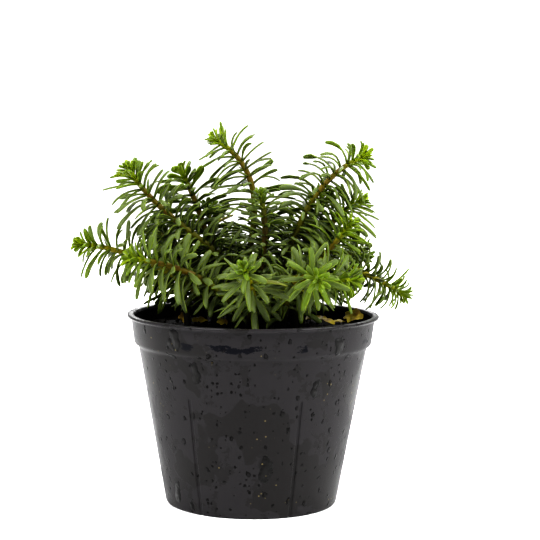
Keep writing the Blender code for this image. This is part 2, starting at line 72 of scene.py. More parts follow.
def meshPiece(name, points, quads, material, replaced=(), values=None, triangles=None):
    # points and faces into one smooth mesh at the origin, riding on the root body
    points = np.ascontiguousarray(points, np.float32).reshape(-1, 3)
    quads = np.asarray(quads, np.int32).reshape(-1, 4)
    triangles = np.zeros((0, 3), np.int32) if triangles is None else np.asarray(triangles, np.int32)
    corners = np.concatenate([quads.ravel(), triangles.ravel()])
    counts = np.concatenate([np.full(len(quads), 4), np.full(len(triangles), 3)])
    starts = np.concatenate([[0], np.cumsum(counts)[:-1]])
    mesh = bpy.data.meshes.new(name)
    mesh.vertices.add(len(points))
    mesh.vertices.foreach_set("co", points.ravel())
    mesh.loops.add(len(corners))
    mesh.loops.foreach_set("vertex_index", corners.astype(np.int32))
    mesh.polygons.add(len(counts))
    mesh.polygons.foreach_set("loop_start", starts.astype(np.int32))
    mesh.update(calc_edges=True)
    for key, value in (values or {}).items():
        layer = mesh.attributes.new(key, "FLOAT", "POINT")
        layer.data.foreach_set("value", np.ascontiguousarray(value, np.float32).ravel())
    mesh.shade_smooth()
    mesh.materials.append(material)
    piece = bpy.data.objects.new(name, mesh)
    bpy.context.scene.collection.objects.link(piece)
    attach(piece, "root")
    if replaced:
        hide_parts(*replaced)
    return piece


def gridFaces(rows, columns, closed):
    # quads of a grid whose points run row by row; closed joins the last column to the first
    wide = columns if closed else columns - 1
    i = np.arange(rows - 1)[:, None] * columns
    j = np.arange(wide)[None, :]
    k = (j + 1) % columns
    return np.stack([i + j, i + k, i + k + columns, i + j + columns], -1).reshape(-1, 4)


def poleCaps(rows, columns):
    # triangles that close a tube of rows * columns points: fans from the next two points, which are
    # its poles, to its first and last row
    j = np.arange(columns)
    k = (j + 1) % columns
    last = (rows - 1) * columns
    first = np.stack([np.full(columns, rows * columns), k, j], -1)
    final = np.stack([np.full(columns, rows * columns + 1), last + j, last + k], -1)
    return np.concatenate([first, final])


# node helpers

def feed(tree, socket, value):
    # links a socket to it, or sets it as its constant
    if isinstance(value, bpy.types.NodeSocket):
        tree.links.new(value, socket)
    else:
        socket.default_value = value


def newGroup(name, inputs, outputs):
    group = bpy.data.node_groups.new(name, "ShaderNodeTree")
    for label, kind, value in inputs:
        socket = group.interface.new_socket(name=label, in_out="INPUT", socket_type=kind)
        socket.default_value = value
    for label, kind in outputs:
        group.interface.new_socket(name=label, in_out="OUTPUT", socket_type=kind)
    return group, group.nodes.new("NodeGroupInput"), group.nodes.new("NodeGroupOutput")


def addNode(tree, kind, settings=None, **links):
    # a node with its plain settings, and inputs given by name, or by number as i0, i1 and so on
    node = tree.nodes.new(kind)
    for key, value in (settings or {}).items():
        setattr(node, key, value)
    for key, value in links.items():
        byNumber = key[0] == "i" and key[1:].isdigit()
        feed(tree, node.inputs[int(key[1:]) if byNumber else key], value)
    return node


def calc(tree, operation, a, b=0.0, c=0.0, clamp=False):
    node = tree.nodes.new("ShaderNodeMath")
    node.operation = operation
    node.use_clamp = clamp
    for socket, value in zip(node.inputs, (a, b, c)):
        feed(tree, socket, value)
    return node.outputs[0]


def times(tree, a, b):
    return calc(tree, "MULTIPLY", a, b)


def larger(tree, a, b):
    return calc(tree, "MAXIMUM", a, b)


def blendColour(tree, mask, first, second):
    node = tree.nodes.new("ShaderNodeMix")
    node.data_type = "RGBA"
    for number, value in ((0, mask), (6, first), (7, second)):
        feed(tree, node.inputs[number], value)
    return node.outputs[2]


def remap(tree, value, low, high, first=0.0, last=1.0):
    # a smooth step from first at low to last at high
    node = tree.nodes.new("ShaderNodeMapRange")
    node.interpolation_type = "SMOOTHSTEP"
    for number, given in enumerate((value, low, high, first, last)):
        feed(tree, node.inputs[number], given)
    return node.outputs[0]


def noise(tree, place, scale, detail=2.0, roughness=0.5, output="Fac"):
    node = addNode(tree, "ShaderNodeTexNoise", Vector=place, Scale=scale, Detail=detail, Roughness=roughness)
    return node.outputs[output]


def cellNoise(tree, place, scale):
    # the distance to the nearest of scattered points, and a random colour for each of them
    node = addNode(tree, "ShaderNodeTexVoronoi", {"feature": "F1"}, Vector=place, Scale=scale, Randomness=1.0)
    return node.outputs["Distance"], node.outputs["Color"]


def attributeValue(tree, name):
    node = tree.nodes.new("ShaderNodeAttribute")
    node.attribute_name = name
    return node.outputs["Fac"]


def objectPlace(tree):
    return tree.nodes.new("ShaderNodeTexCoord").outputs["Object"]


def newMaterial(name, specular):
    material = bpy.data.materials.new(name)
    material.use_nodes = True
    shader = material.node_tree.nodes["Principled BSDF"]
    shader.inputs["Specular IOR Level"].default_value = specular
    return material, material.node_tree, shader


def makeMottle():
    # soft blotches, stretched to 0..1 between low and high, and fine grain, both on object coordinates
    number = "NodeSocketFloat"
    group, given, out = newGroup(
        "mottle",
        (
            ("Blotch Scale", number, 100.0),
            ("Grain Scale", number, 1500.0),
            ("Low", number, 0.35),
            ("High", number, 0.65),
        ),
        (("Blotch", number), ("Grain", number)),
    )
    place = objectPlace(group)
    blotch = noise(group, place, given.outputs["Blotch Scale"], 3.0)
    grain = noise(group, place, given.outputs["Grain Scale"])
    blotch = remap(group, blotch, given.outputs["Low"], given.outputs["High"])
    group.links.new(blotch, out.inputs["Blotch"])
    group.links.new(grain, out.inputs["Grain"])
    return group


mottle = makeMottle()


def placeMottle(tree, blotchScale, grainScale, low, high):
    node = tree.nodes.new("ShaderNodeGroup")
    node.node_tree = mottle
    given = {"Blotch Scale": blotchScale, "Grain Scale": grainScale, "Low": low, "High": high}
    for label, value in given.items():
        node.inputs[label].default_value = value
    return node.outputs["Blotch"], node.outputs["Grain"]


def bumpInto(tree, shader, height, distance, strength):
    bump = addNode(tree, "ShaderNodeBump", Height=height, Distance=distance, Strength=strength)
    tree.links.new(bump.outputs[0], shader.inputs["Normal"])


# the studio: camera, floor and lights

camera = {
    "distance": 600.0 * mm,   # from the middle of the pot's mouth
    "elevation": 6.8,         # degrees that the camera looks down on the mouth
    "focalPixels": 1673.2,    # focal length in pixels of the 540 pixel picture
    "mouth": (253.5, 313.2),  # pixel that shows the middle of the mouth
    "roll": 0.7,              # degrees
    "mouthHeight": 68.0 * mm,
    "frameSize": 540.0,       # pixels across the picture
    "sensor": 36.0,
    "clip": (0.01, 100.0),
}


def placeFacing(name, data, right, up, back, spot):
    # an object at spot whose own X, Y and Z point right, up and back
    matrix = np.eye(4)
    matrix[:3] = np.stack([right, up, back, spot], axis=1)
    holder = bpy.data.objects.new(name, data)
    holder.matrix_world = Matrix(matrix.tolist())
    bpy.context.scene.collection.objects.link(holder)
    return holder


def makeCamera(settings):
    elevation = math.radians(settings["elevation"])
    spot = np.array([0.0, -math.cos(elevation), math.sin(elevation)]) * settings["distance"]
    spot[2] += settings["mouthHeight"]
    middle = settings["frameSize"] / 2
    yaw = math.atan((middle - settings["mouth"][0]) / settings["focalPixels"])
    pitch = math.atan((settings["mouth"][1] - middle) / settings["focalPixels"]) - elevation
    ahead = np.array([math.sin(yaw) * math.cos(pitch), math.cos(yaw) * math.cos(pitch), math.sin(pitch)])
    right = unit(np.cross(ahead, [0.0, 0.0, 1.0]))
    up = np.cross(right, ahead)
    roll = math.radians(settings["roll"])
    lens = bpy.data.cameras.new("photo_camera")
    lens.sensor_width = settings["sensor"]
    lens.lens = settings["focalPixels"] / settings["frameSize"] * settings["sensor"]
    lens.clip_start, lens.clip_end = settings["clip"]
    turnedRight = math.cos(roll) * right + math.sin(roll) * up
    turnedUp = math.cos(roll) * up - math.sin(roll) * right
    holder = placeFacing("photo_camera", lens, turnedRight, turnedUp, -ahead, spot)
    bpy.context.scene.camera = holder


studio = {
    "floorColour": (0.95, 0.95, 0.95, 1),
    "floorRoughness": 0.8,
    "floorRadius": 1.3,
    "floorCorners": 96,
    "shown": 1.12,           # how white the room looks
    "horizonLight": 0.55,    # the light that it gives from the sides
    "overheadLight": 0.40,   # and from its ceiling
    "horizon": (0.20, 0.85),  # the steepness at which the one starts to give way to the other, and ends
    "lights": (
        # name, place, point it faces, size, watts
        ("top_left", (-0.70, -0.55, 1.10), (0, 0, 0.08), 0.80, 24.0),
        ("top_right", (0.85, -0.30, 0.90), (0, 0, 0.08), 0.80, 22.0),
        ("back_glow", (0.05, 1.10, 0.80), (0, 0, 0.09), 1.00, 16.0),
    ),
}


def makeStudio(settings):
    floorMesh = bpy.data.meshes.new("floor")
    corners = settings["floorCorners"]
    turn = np.linspace(0, 2 * np.pi, corners, endpoint=False)
    edge = np.stack([np.cos(turn), np.sin(turn), 0 * turn], -1) * settings["floorRadius"]
    floorMesh.from_pydata(edge.tolist(), [], [list(range(corners))])
    floor = bpy.data.objects.new("floor", floorMesh)
    bpy.context.scene.collection.objects.link(floor)
    paint = bpy.data.materials.new("floor_paper")
    paint.use_nodes = True
    shader = paint.node_tree.nodes["Principled BSDF"]
    shader.inputs["Base Color"].default_value = settings["floorColour"]
    shader.inputs["Roughness"].default_value = settings["floorRoughness"]
    floorMesh.materials.append(paint)
    world = bpy.data.worlds.new("white_room")
    world.use_nodes = True
    room = world.node_tree
    back = room.nodes["Background"]
    back.inputs["Color"].default_value = (1, 1, 1, 1)
    direction = room.nodes.new("ShaderNodeTexCoord").outputs["Generated"]
    split = addNode(room, "ShaderNodeSeparateXYZ", i0=direction)
    fade = remap(
        room, split.outputs["Z"], *settings["horizon"], settings["horizonLight"], settings["overheadLight"]
    )
    direct = room.nodes.new("ShaderNodeLightPath").outputs["Is Camera Ray"]
    shown = addNode(room, "ShaderNodeMix", i0=direct, i2=fade, i3=settings["shown"])
    room.links.new(shown.outputs[0], back.inputs["Strength"])
    bpy.context.scene.world = world
    for name, place, target, size, watts in settings["lights"]:
        lamp = bpy.data.lights.new(name, "AREA")
        lamp.shape = "DISK"
        lamp.size = size
        lamp.energy = watts
        back = unit(np.array(place) - np.array(target))
        side = unit(np.cross([0.0, 0.0, 1.0], back))
        placeFacing(name, lamp, side, np.cross(back, side), back, place)
    bpy.context.scene.view_settings.view_transform = "Standard"
    bpy.context.scene.view_settings.look = "High Contrast"


makeCamera(camera)
makeStudio(studio)
print("camera, floor and lights set")


# pot

potShape = {
    "height": 68.0,
    "baseRadius": 30.6,
    "bodyTop": (40.8, 56.2),
    "collarLow": (42.5, 58.0),
    "collarTopRadius": 43.4,
    "rimRadius": 45.0,
    "rimThickness": 1.1,
    "wall": 0.9,
    "floor": 1.0,
    "grooves": 6,
    "grooveWidth": 1.1,
    "grooveDepth": 0.4,
    "grooveTop": 42.0,
    "grooveFade": 0.8,       # height over which a groove runs out at its top
    "grooveSides": (0.42, 0.58),  # where its sides start and end, in its widths from its middle
    "grooveRadius": 38.0,    # of the wall, where the steps across a groove are measured
    "grooveClear": 0.026,    # radians to each side of its middle that get no even step
    "firstGroove": -64.0,    # degrees
    "drains": (6, 1.8, 20.0),  # count, radius and circle radius
    "drainCorners": 32,
    "sway": 0.16,            # how far the thin rim is out of true
    "waveFrom": 60.0,        # the height from which the wall's top is wavy
    "sunk": 0.1,             # how much lower than its profile it lies there
    # counted from the crown's first row: the row where the inside, painted darker as shade, ends, the row
    # where the lip is glossiest, and the rows over which that fades
    "lipRows": (-4, 3, 6),
    # water along the collar: the heading and spread of each strip, and the heights where its lower
    # edge starts and is full, and where its upper edge is full and ends
    "films": ((-97, 19), (-121, 4), (-67, 4), (-166, 7), (-22, 6), (38, 22), (95, 9), (150, 14)),
    "filmHeights": (57.8, 60.0, 61.0, 64.5),
    "around": 180,           # steps round the wall
    "across": (0.15, 0.42, 0.50, 0.56, 0.75),  # closer ones at each side of a groove, in its widths
}


def potProfile(s):
    # radius and height in mm from the middle of the inside, up the wall, over the rim and down to the base
    slope = (s["bodyTop"][0] - s["baseRadius"]) / s["bodyTop"][1]
    h, w, rim, top = s["height"], s["wall"], s["rimRadius"], s["collarTopRadius"]
    under = h - s["rimThickness"]
    foot, (body, bodyHeight), (low, lowHeight) = s["baseRadius"], s["bodyTop"], s["collarLow"]
    corner = [(foot + slope * 1.2, 1.2), (foot - 0.05, 0.5), (foot - 0.35, 0.12)]
    inside = [(0.0, s["floor"]), (14.0, s["floor"]), (24.0, s["floor"])]
    inside += [(foot - w - 0.6, s["floor"]), (foot - w + 0.2, s["floor"] + 0.6)]
    inside += [(foot + slope * z - w, z) for z in np.linspace(4.0, bodyHeight - 0.4, 9)]
    inside += [(body - w + 0.15, bodyHeight + 0.4), (low - w - 0.2, lowHeight + 0.2)]
    inside += [(low - w, lowHeight + 0.8), (top - w - 0.4, 63.0), (top - w - 0.1, h - 1.2)]
    inside += [(top - w + 0.05, h - 0.5), (top - w + 0.3, h - 0.12), (top - w + 0.7, h)]
    edge = [(rim - 1.0, h), (rim - 0.45, h - 0.04), (rim - 0.14, h - 0.2), (rim, h - 0.5)]
    edge += [(rim - 0.02, h - 0.85), (rim - 0.2, under), (rim - 0.6, under - 0.02)]
    edge += [(top + 0.5, under - 0.05), (top + 0.12, under - 0.3)]
    collar = [(top, under - 0.8), (top - 0.25, 63.5), (low + 0.25, 60.5), (low + 0.02, lowHeight + 0.5)]
    collar += [(low - 0.12, lowHeight - 0.1), (low - 0.5, lowHeight - 0.6), (low - 1.2, lowHeight - 1.2)]
    collar += [(body + 0.08, bodyHeight + 0.12)]
    nearTop = [bodyHeight - 0.5, *np.linspace(53.0, 44.0, 6)]
    fall = nearTop + [42.6, 42.0, 41.4, 40.4] + [*np.linspace(38.0, 4.0, 14)]
    side = [(foot + slope * z, z) for z in fall]
    base = [(foot - 1.0, 0.0), (24.0, 0.0), (14.0, 0.0), (0.0, 0.0)]
    return np.array(inside + edge + collar + side + corner + base)


def apartFrom(angle, middles):
    # how far each angle is from each middle the short way round, in radians
    return np.abs((angle[:, None] - middles + np.pi) % (2 * np.pi) - np.pi)


def potAngles(s):
    # even steps all round, with closer ones across each groove, in radians
    even = np.linspace(0, 2 * np.pi, s["around"], endpoint=False)
    middles = np.radians(s["firstGroove"]) + np.arange(s["grooves"]) * 2 * np.pi / s["grooves"]
    right = np.array(s["across"])
    across = np.concatenate([-right[::-1], right]) * s["grooveWidth"] / s["grooveRadius"]
    close = (middles[:, None] + across).ravel() % (2 * np.pi)
    free = apartFrom(even, middles).min(axis=1) > s["grooveClear"]
    return np.sort(np.concatenate([even[free], close])), middles


def potPoints(s):
    # the profile turned round Z; the outer wall steps in by the groove depth where the angle is
    # within half a groove's width of a groove's middle, below the groove's top, and the rim sways a little
    profile = potProfile(s)
    angle, middles = potAngles(s)
    radius = np.repeat(profile[:, :1], len(angle), axis=1)
    height = np.repeat(profile[:, 1:], len(angle), axis=1)
    row = np.arange(len(profile))
    off = apartFrom(angle, middles).min(axis=1)[None, :] * radius
    crown = int(np.argmax(profile[:, 0] > s["rimRadius"] - 1.05))
    outer = (row > crown)[:, None] & (height < s["grooveTop"] + 1.0) & (radius > s["baseRadius"] - 2.0)
    under = 1 - smoothStep(s["grooveTop"] - s["grooveFade"], s["grooveTop"], height)
    deep = (1 - smoothStep(*s["grooveSides"], off / s["grooveWidth"])) * under
    radius = radius - np.where(outer, deep * s["grooveDepth"], 0.0)
    share = np.clip(height / s["height"], 0, 1) ** 3
    sway = 0.6 * np.sin(2 * angle + 0.7) + 0.4 * np.sin(3 * angle + 2.0) + 0.25 * np.sin(5 * angle)
    radius = np.where(radius > 1.0, radius + share * s["sway"] * sway, radius)
    wave = 0.7 * np.sin(angle * 2 + 2.4) + 0.3 * np.sin(angle * 5)
    lift = smoothStep(s["waveFrom"], s["height"], height) * s["sway"] * wave - s["sunk"]
    height = height + np.where(height > s["waveFrom"], lift, 0.0)
    points = np.stack([radius * np.cos(angle), radius * np.sin(angle), height], -1)
    stainEnds, glossiest, fade = s["lipRows"]
    inside = row < crown + stainEnds
    lip = np.clip(1 - np.abs(row - crown - glossiest) / fade, 0, 1) ** 0.5
    foot, full, fading, end = s["filmHeights"]
    band = smoothStep(end, fading, profile[:, 1]) * smoothStep(foot, full, profile[:, 1]) * (row > crown)
    middle, spread = np.radians(np.array(s["films"])).T
    film = band[:, None] * np.exp(-((apartFrom(angle, middle) / spread) ** 4)).max(axis=1)
    return points[1:-1], profile, len(angle), inside, lip, film


def drillDrains(piece, s):
    # small round holes cut through the base
    count, radius, circle = s["drains"]
    bpy.ops.object.select_all(action="DESELECT")
    for i in range(count):
        angle = (i + 0.5) * 2 * math.pi / count
        bpy.ops.mesh.primitive_cylinder_add(
            vertices=s["drainCorners"],
            radius=radius * mm,
            depth=4 * mm,
            location=(circle * mm * math.cos(angle), circle * mm * math.sin(angle), 0),
        )
        drill = bpy.context.object
        hole = piece.modifiers.new("drain", "BOOLEAN")
        hole.operation = "DIFFERENCE"
        hole.solver = "EXACT"
        hole.object = drill
        graph = bpy.context.evaluated_depsgraph_get()
        mesh = bpy.data.meshes.new_from_object(piece.evaluated_get(graph))
        piece.modifiers.clear()
        piece.data = mesh
        bpy.data.objects.remove(drill)


potFinish = {
    "dry": (0.0190, 0.0177, 0.0187, 1),
    "damp": (0.0100, 0.0092, 0.0088, 1),
    "film": (0.0006, 0.0009, 0.0030, 1),     # water lying along the collar
    "soilSpeck": (0.15, 0.12, 0.05, 1),
    "shadeDark": (0.0020, 0.0018, 0.0015, 1),  # painted shade: near black for the inside of the pot, and for the rings round drops
    "insideRoughness": 0.9,
    "insideSpecular": 0.02,
    "insideRelief": (0.0002, 0.5),
    "mottle": (46.0, 2600.0, 0.515, 0.528),
    "insideMottle": (140.0, 1800.0, 0.35, 0.65),
    # noise as scale, detail and roughness, and where in it a damp patch starts
    "ragged": (150.0, 6.0, 0.7),
    "raggedFrom": (0.55, 0.565),
    # the same for the film's edge, how many times as wide as high it is, and the film's own weight
    "filmEdge": (230.0, 6.0, 0.7),
    "filmFrom": (0.80, 0.812),
    "filmLevel": 2.6,
    "filmWeight": 0.42,
    # drops: how many in a metre, height to width, radius as a share of their spacing, and share that is there
    "drops": (125.0, 1.7, 0.34, 0.34),
    "droplets": (360.0, 1.2, 0.33, 0.42),
    "pits": (620.0, 1.1, 0.34, 0.36),
    # how many in a metre: regions that have droplets or pits, specks of soil, and regions that have those
    "regions": 60.0,
    "specks": 420.0,
    "speckRegions": 90.0,
    "specular": 0.09,
    "coatRoughness": 0.05,
    "coatIor": 1.33,
    "roughness": 0.42,
    "grainRougher": 0.08,
    "wetSmoother": 0.10,
    "lipSmoother": 0.16,
    "dropGloss": 0.25,
    "wetGloss": 0.06,
    "lipGloss": 0.14,
    "relief": (0.0013, 1.0),  # metres that a drop stands out, and how strongly that shows
}


def scatterDrops(tree, place, scale, tall, radius, share):
    # in some cells of a scattered grid a round drop: 1 at its crown, a quarter circle down to 0 at its edge
    squeezed = addNode(tree, "ShaderNodeMapping", Vector=place, Scale=(1.0, 1.0, 1.0 / tall)).outputs[0]
    bent = noise(tree, place, scale * 1.6, output="Color")
    push = {"operation": "MULTIPLY_ADD"}
    pushed = addNode(tree, "ShaderNodeVectorMath", push, i0=bent, i1=[0.6 / scale] * 3, i2=squeezed)
    distance, own = cellNoise(tree, pushed.outputs[0], scale)
    lot = addNode(tree, "ShaderNodeSeparateColor", Color=own).outputs[0]
    size = times(tree, remap(tree, lot, 1.0 - share, 1.0, 0.45, 1.0), radius)
    reach = calc(tree, "DIVIDE", distance, size)
    crown = calc(tree, "SQRT", calc(tree, "SUBTRACT", 1.0, times(tree, reach, reach), clamp=True))
    kept = calc(tree, "GREATER_THAN", lot, 1.0 - share)
    return times(tree, crown, kept)


def makePotPlastic(finish):
    material, tree, shader = newMaterial("wetBlackPlastic", finish["specular"])
    shader.inputs["Coat Roughness"].default_value = finish["coatRoughness"]
    shader.inputs["Coat IOR"].default_value = finish["coatIor"]
    place = objectPlace(tree)
    lip = attributeValue(tree, "lip")
    # damp patches, broad ones and smaller ragged ones
    broad, grain = placeMottle(tree, *finish["mottle"])
    ragged = remap(tree, noise(tree, place, *finish["ragged"]), *finish["raggedFrom"], 0.0, 0.6)
    patches = larger(tree, times(tree, broad, 0.75), ragged)
    # drops all over, droplets in some regions and pits in the others
    drops = scatterDrops(tree, place, *finish["drops"])
    droplets = scatterDrops(tree, place, *finish["droplets"])
    where = noise(tree, place, finish["regions"])
    droplets = times(tree, droplets, remap(tree, where, 0.45, 0.50))
    pits = scatterDrops(tree, place, *finish["pits"])
    small = larger(tree, droplets, times(tree, pits, remap(tree, where, 0.57, 0.50, 0.0, 0.6)))
    # water along the collar has a ragged edge, drawn out level
    flat = addNode(tree, "ShaderNodeMapping", Vector=place, Scale=(1.0, 1.0, finish["filmLevel"])).outputs[0]
    edge = noise(tree, flat, *finish["filmEdge"])
    film = calc(tree, "MULTIPLY_ADD", attributeValue(tree, "film"), finish["filmWeight"], edge)
    film = remap(tree, film, *finish["filmFrom"])
    wet = larger(tree, patches, remap(tree, drops, 0.0, 0.1))
    colour = blendColour(tree, wet, finish["dry"], finish["damp"])
    # painted shade: a drop is darkest round its edge
    inDrop = larger(tree, remap(tree, drops, 0.0, 0.15), remap(tree, small, 0.0, 0.15))
    ring = times(tree, inDrop, remap(tree, larger(tree, drops, small), 0.6, 0.9, 1.0, 0.5))
    colour = blendColour(tree, ring, colour, finish["shadeDark"])
    # specks of soil in a few regions
    specks = remap(tree, cellNoise(tree, place, finish["specks"])[0], 0.06, 0.16, 0.7, 0.0)
    rare = remap(tree, noise(tree, place, finish["speckRegions"]), 0.57, 0.62)
    colour = blendColour(tree, times(tree, specks, rare), colour, finish["soilSpeck"])
    colour = blendColour(tree, film, colour, finish["film"])
    tree.links.new(colour, shader.inputs["Base Color"])
    rough = calc(tree, "MULTIPLY_ADD", wet, -finish["wetSmoother"], finish["roughness"])
    rough = calc(tree, "MULTIPLY_ADD", grain, finish["grainRougher"], rough)
    rough = calc(tree, "MULTIPLY_ADD", lip, -finish["lipSmoother"], rough)
    tree.links.new(rough, shader.inputs["Roughness"])
    gloss = times(tree, remap(tree, drops, 0.0, 0.15), finish["dropGloss"])
    gloss = larger(tree, gloss, times(tree, wet, finish["wetGloss"]))
    gloss = larger(tree, gloss, times(tree, lip, finish["lipGloss"]))
    tree.links.new(gloss, shader.inputs["Coat Weight"])
    height = larger(tree, drops, times(tree, small, 0.4))
    height = calc(tree, "MULTIPLY_ADD", grain, 0.03, height)
    height = calc(tree, "MULTIPLY_ADD", patches, 0.03, height)
    bumpInto(tree, shader, height, *finish["relief"])
    return material


def makeShadedInside(finish):
    # painted shade: the inside wall near black, mottled towards the damp colour
    material, tree, shader = newMaterial("shadedInsidePlastic", finish["insideSpecular"])
    shader.inputs["Roughness"].default_value = finish["insideRoughness"]
    blotch, grain = placeMottle(tree, *finish["insideMottle"])
    tree.links.new(blendColour(tree, blotch, finish["shadeDark"], finish["damp"]), shader.inputs["Base Color"])
    bumpInto(tree, shader, grain, *finish["insideRelief"])
    return material


potPlastic = makePotPlastic(potFinish)
points, profile, columns, inside, lip, film = potPoints(potShape)
rows = len(points)
firstPole = np.array([[0.0, 0.0, profile[0, 1]]])
lastPole = np.array([[0.0, 0.0, profile[-1, 1]]])
potAll = np.concatenate([points.reshape(-1, 3), firstPole, lastPole]) * mm
marks = {
    "lip": np.concatenate([np.repeat(lip[1:-1], columns), [0.0, 0.0]]),
    "film": np.concatenate([film[1:-1].ravel(), [0.0, 0.0]]),
}
potFaces = gridFaces(rows, columns, True)[:, ::-1]
potCaps = poleCaps(rows, columns)[:, [0, 2, 1]]
pot = meshPiece("nursery_pot", potAll, potFaces, potPlastic, ("pot",), marks, potCaps)
# the inside faces take the near-black material, painted shade
pot.data.materials.append(makeShadedInside(potFinish))
innerRows = np.repeat(inside[1:-2], columns)
innerFaces = np.concatenate([innerRows, np.ones(columns), np.zeros(columns)])
pot.data.polygons.foreach_set("material_index", innerFaces.astype(np.int32))
drillDrains(pot, potShape)
print("pot:", len(pot.data.polygons), "faces")


# soil

soilShape = {
    "centre": 63.3,
    "edge": 62.4,
    "innerRadius": 41.95,   # of the pot at the soil's top
    "around": 260,          # points on a ring
    "rings": 110,           # over the top
    "sideRadii": (41.0, 39.35, 29.2, 20.0, 0.3),
    "sideHeights": (62.0, 59.0, 56.9, 1.5, 1.35, 1.35),  # from the top's edge to the middle of the underside
    "middle": 0.3,          # radius of the first ring
    "wallGap": 0.45,
    "edgeDrops": (0.15, 0.5),  # how much lower the last two rings of the top lie
    # height, number of waves, and the shortest and longest of them
    "lumps": (0.272, 24, 7.0, 20.0),
    "crumbling": (0.11, 60, 0.9, 3.0),
    "crumbs": 900,
    "crumbSize": (0.34, 0.42, 0.16, 0.95),  # usual radius, spread of its logarithm, smallest and largest
    "crumbGrid": (5, 6),
    "crumbRough": (0.72, 1.22),
    "crumbStretch": (0.6, 1.3),
    "crumbClear": 1.6,      # from the pot's wall
    "crumbRise": 0.15,      # share of its radius that a crumb's middle lies over the soil
    "seed": 31,
}


def soilTop(x, y, s):
    # a shallow dome plus broad lumps and finer crumbling, in mm
    share = np.hypot(x, y) / s["innerRadius"]
    dome = s["centre"] + (s["edge"] - s["centre"]) * share**2
    lump, *broad = s["lumps"]
    crumb, *fine = s["crumbling"]
    return dome + lump * waves(x, y, s["seed"], *broad) + crumb * waves(x, y, s["seed"] + 1, *fine)


def makeSoilMesh(s):
    # rings from the middle out over the top, then down inside the pot's wall to its floor
    angle = np.linspace(0, 2 * np.pi, s["around"], endpoint=False)
    reach = s["innerRadius"] - s["wallGap"]
    flat = np.linspace(s["middle"], reach, s["rings"])
    radius = np.concatenate([flat, [reach + 0.03, *s["sideRadii"]]])
    x, y = radius[:, None] * np.cos(angle), radius[:, None] * np.sin(angle)
    z = soilTop(x, y, s)
    z[len(flat):] = np.array(s["sideHeights"])[:, None]
    z[len(flat) - 2: len(flat)] -= np.array(s["edgeDrops"])[:, None]
    points = np.stack([x, y, z], -1).reshape(-1, 3)
    rows, columns = len(radius), len(angle)
    ends = np.array([[0, 0, soilTop(0.0, 0.0, s)], [0, 0, s["sideHeights"][-1]]])
    faces = gridFaces(rows, columns, True)[:, ::-1]
    return np.concatenate([points, ends]) * mm, faces, poleCaps(rows, columns)[:, [0, 2, 1]]


def makeCrumbs(s):
    # small lumps of peat: spheres of few points, each stretched, roughened and turned at random
    draw = np.random.default_rng(s["seed"] + 5)
    count, (rows, columns) = s["crumbs"], s["crumbGrid"]
    usual, spread, smallest, largest = s["crumbSize"]
    far = np.sqrt(draw.uniform(0, 1, count)) * (s["innerRadius"] - s["crumbClear"])
    around = draw.uniform(0, 2 * np.pi, count)
    x, y = far * np.cos(around), far * np.sin(around)
    size = np.exp(draw.normal(np.log(usual), spread, count)).clip(smallest, largest)
    z = soilTop(x, y, s) + size * s["crumbRise"]
    polar = np.linspace(0, np.pi, rows)[:, None]
    turn = (np.arange(columns) * 2 * np.pi / columns)[None, :]
    wide = np.sin(polar)
    ball = np.stack([wide * np.cos(turn), wide * np.sin(turn), np.cos(polar) + 0 * turn], -1)
    rough = draw.uniform(*s["crumbRough"], (count, rows, columns, 1))
    rough[:, 0] = rough[:, 0, :1]
    rough[:, -1] = rough[:, -1, :1]
    stretch = draw.uniform(*s["crumbStretch"], (count, 1, 1, 3))
    axes = np.linalg.qr(draw.normal(size=(count, 3, 3)))[0]
    lumps = np.einsum("cij,cabj->cabi", axes, ball[None] * rough * stretch) * size[:, None, None, None]
    points = lumps + np.stack([x, y, z], -1)[:, None, None, :]
    faces = gridFaces(rows, columns, True) + (np.arange(count) * rows * columns)[:, None, None]
    # axes that mirror a lump turn its faces round
    outward = (np.linalg.det(axes) > 0)[:, None, None]
    faces = np.where(outward, faces, faces[:, :, ::-1])
    return points.reshape(-1, 3) * mm, faces.reshape(-1, 4)


soilFinish = {
    "dark": (0.0022, 0.0018, 0.0014, 1),
    "light": (0.0060, 0.0045, 0.0030, 1),
    "fibre": (0.035, 0.024, 0.013, 1),
    "mottle": (260.0, 1400.0, 0.40, 0.62),
    "specular": 0.02,
    "roughness": 0.7,
    "lightRougher": 0.2,
    "flecks": (0.62, 0.72),    # the grain at which a fleck of fibre starts and is full
    "relief": (0.0005, 0.8),
}


def makePeat(finish):
    material, tree, shader = newMaterial("dampPeat", finish["specular"])
    blotch, grain = placeMottle(tree, *finish["mottle"])
    colour = blendColour(tree, blotch, finish["dark"], finish["light"])
    flecks = remap(tree, grain, *finish["flecks"])
    colour = blendColour(tree, times(tree, flecks, 0.5), colour, finish["fibre"])
    tree.links.new(colour, shader.inputs["Base Color"])
    rough = calc(tree, "MULTIPLY_ADD", blotch, finish["lightRougher"], finish["roughness"])
    tree.links.new(rough, shader.inputs["Roughness"])
    bumpInto(tree, shader, grain, *finish["relief"])
    return material


peat = makePeat(soilFinish)
soilPoints, soilQuads, soilCaps = makeSoilMesh(soilShape)
meshPiece("peat_fill", soilPoints, soilQuads, peat, ("soil",), triangles=soilCaps)
crumbPoints, crumbQuads = makeCrumbs(soilShape)
meshPiece("peat_crumbs", crumbPoints, crumbQuads, peat)
print("soil and", soilShape["crumbs"], "crumbs")


# shoots

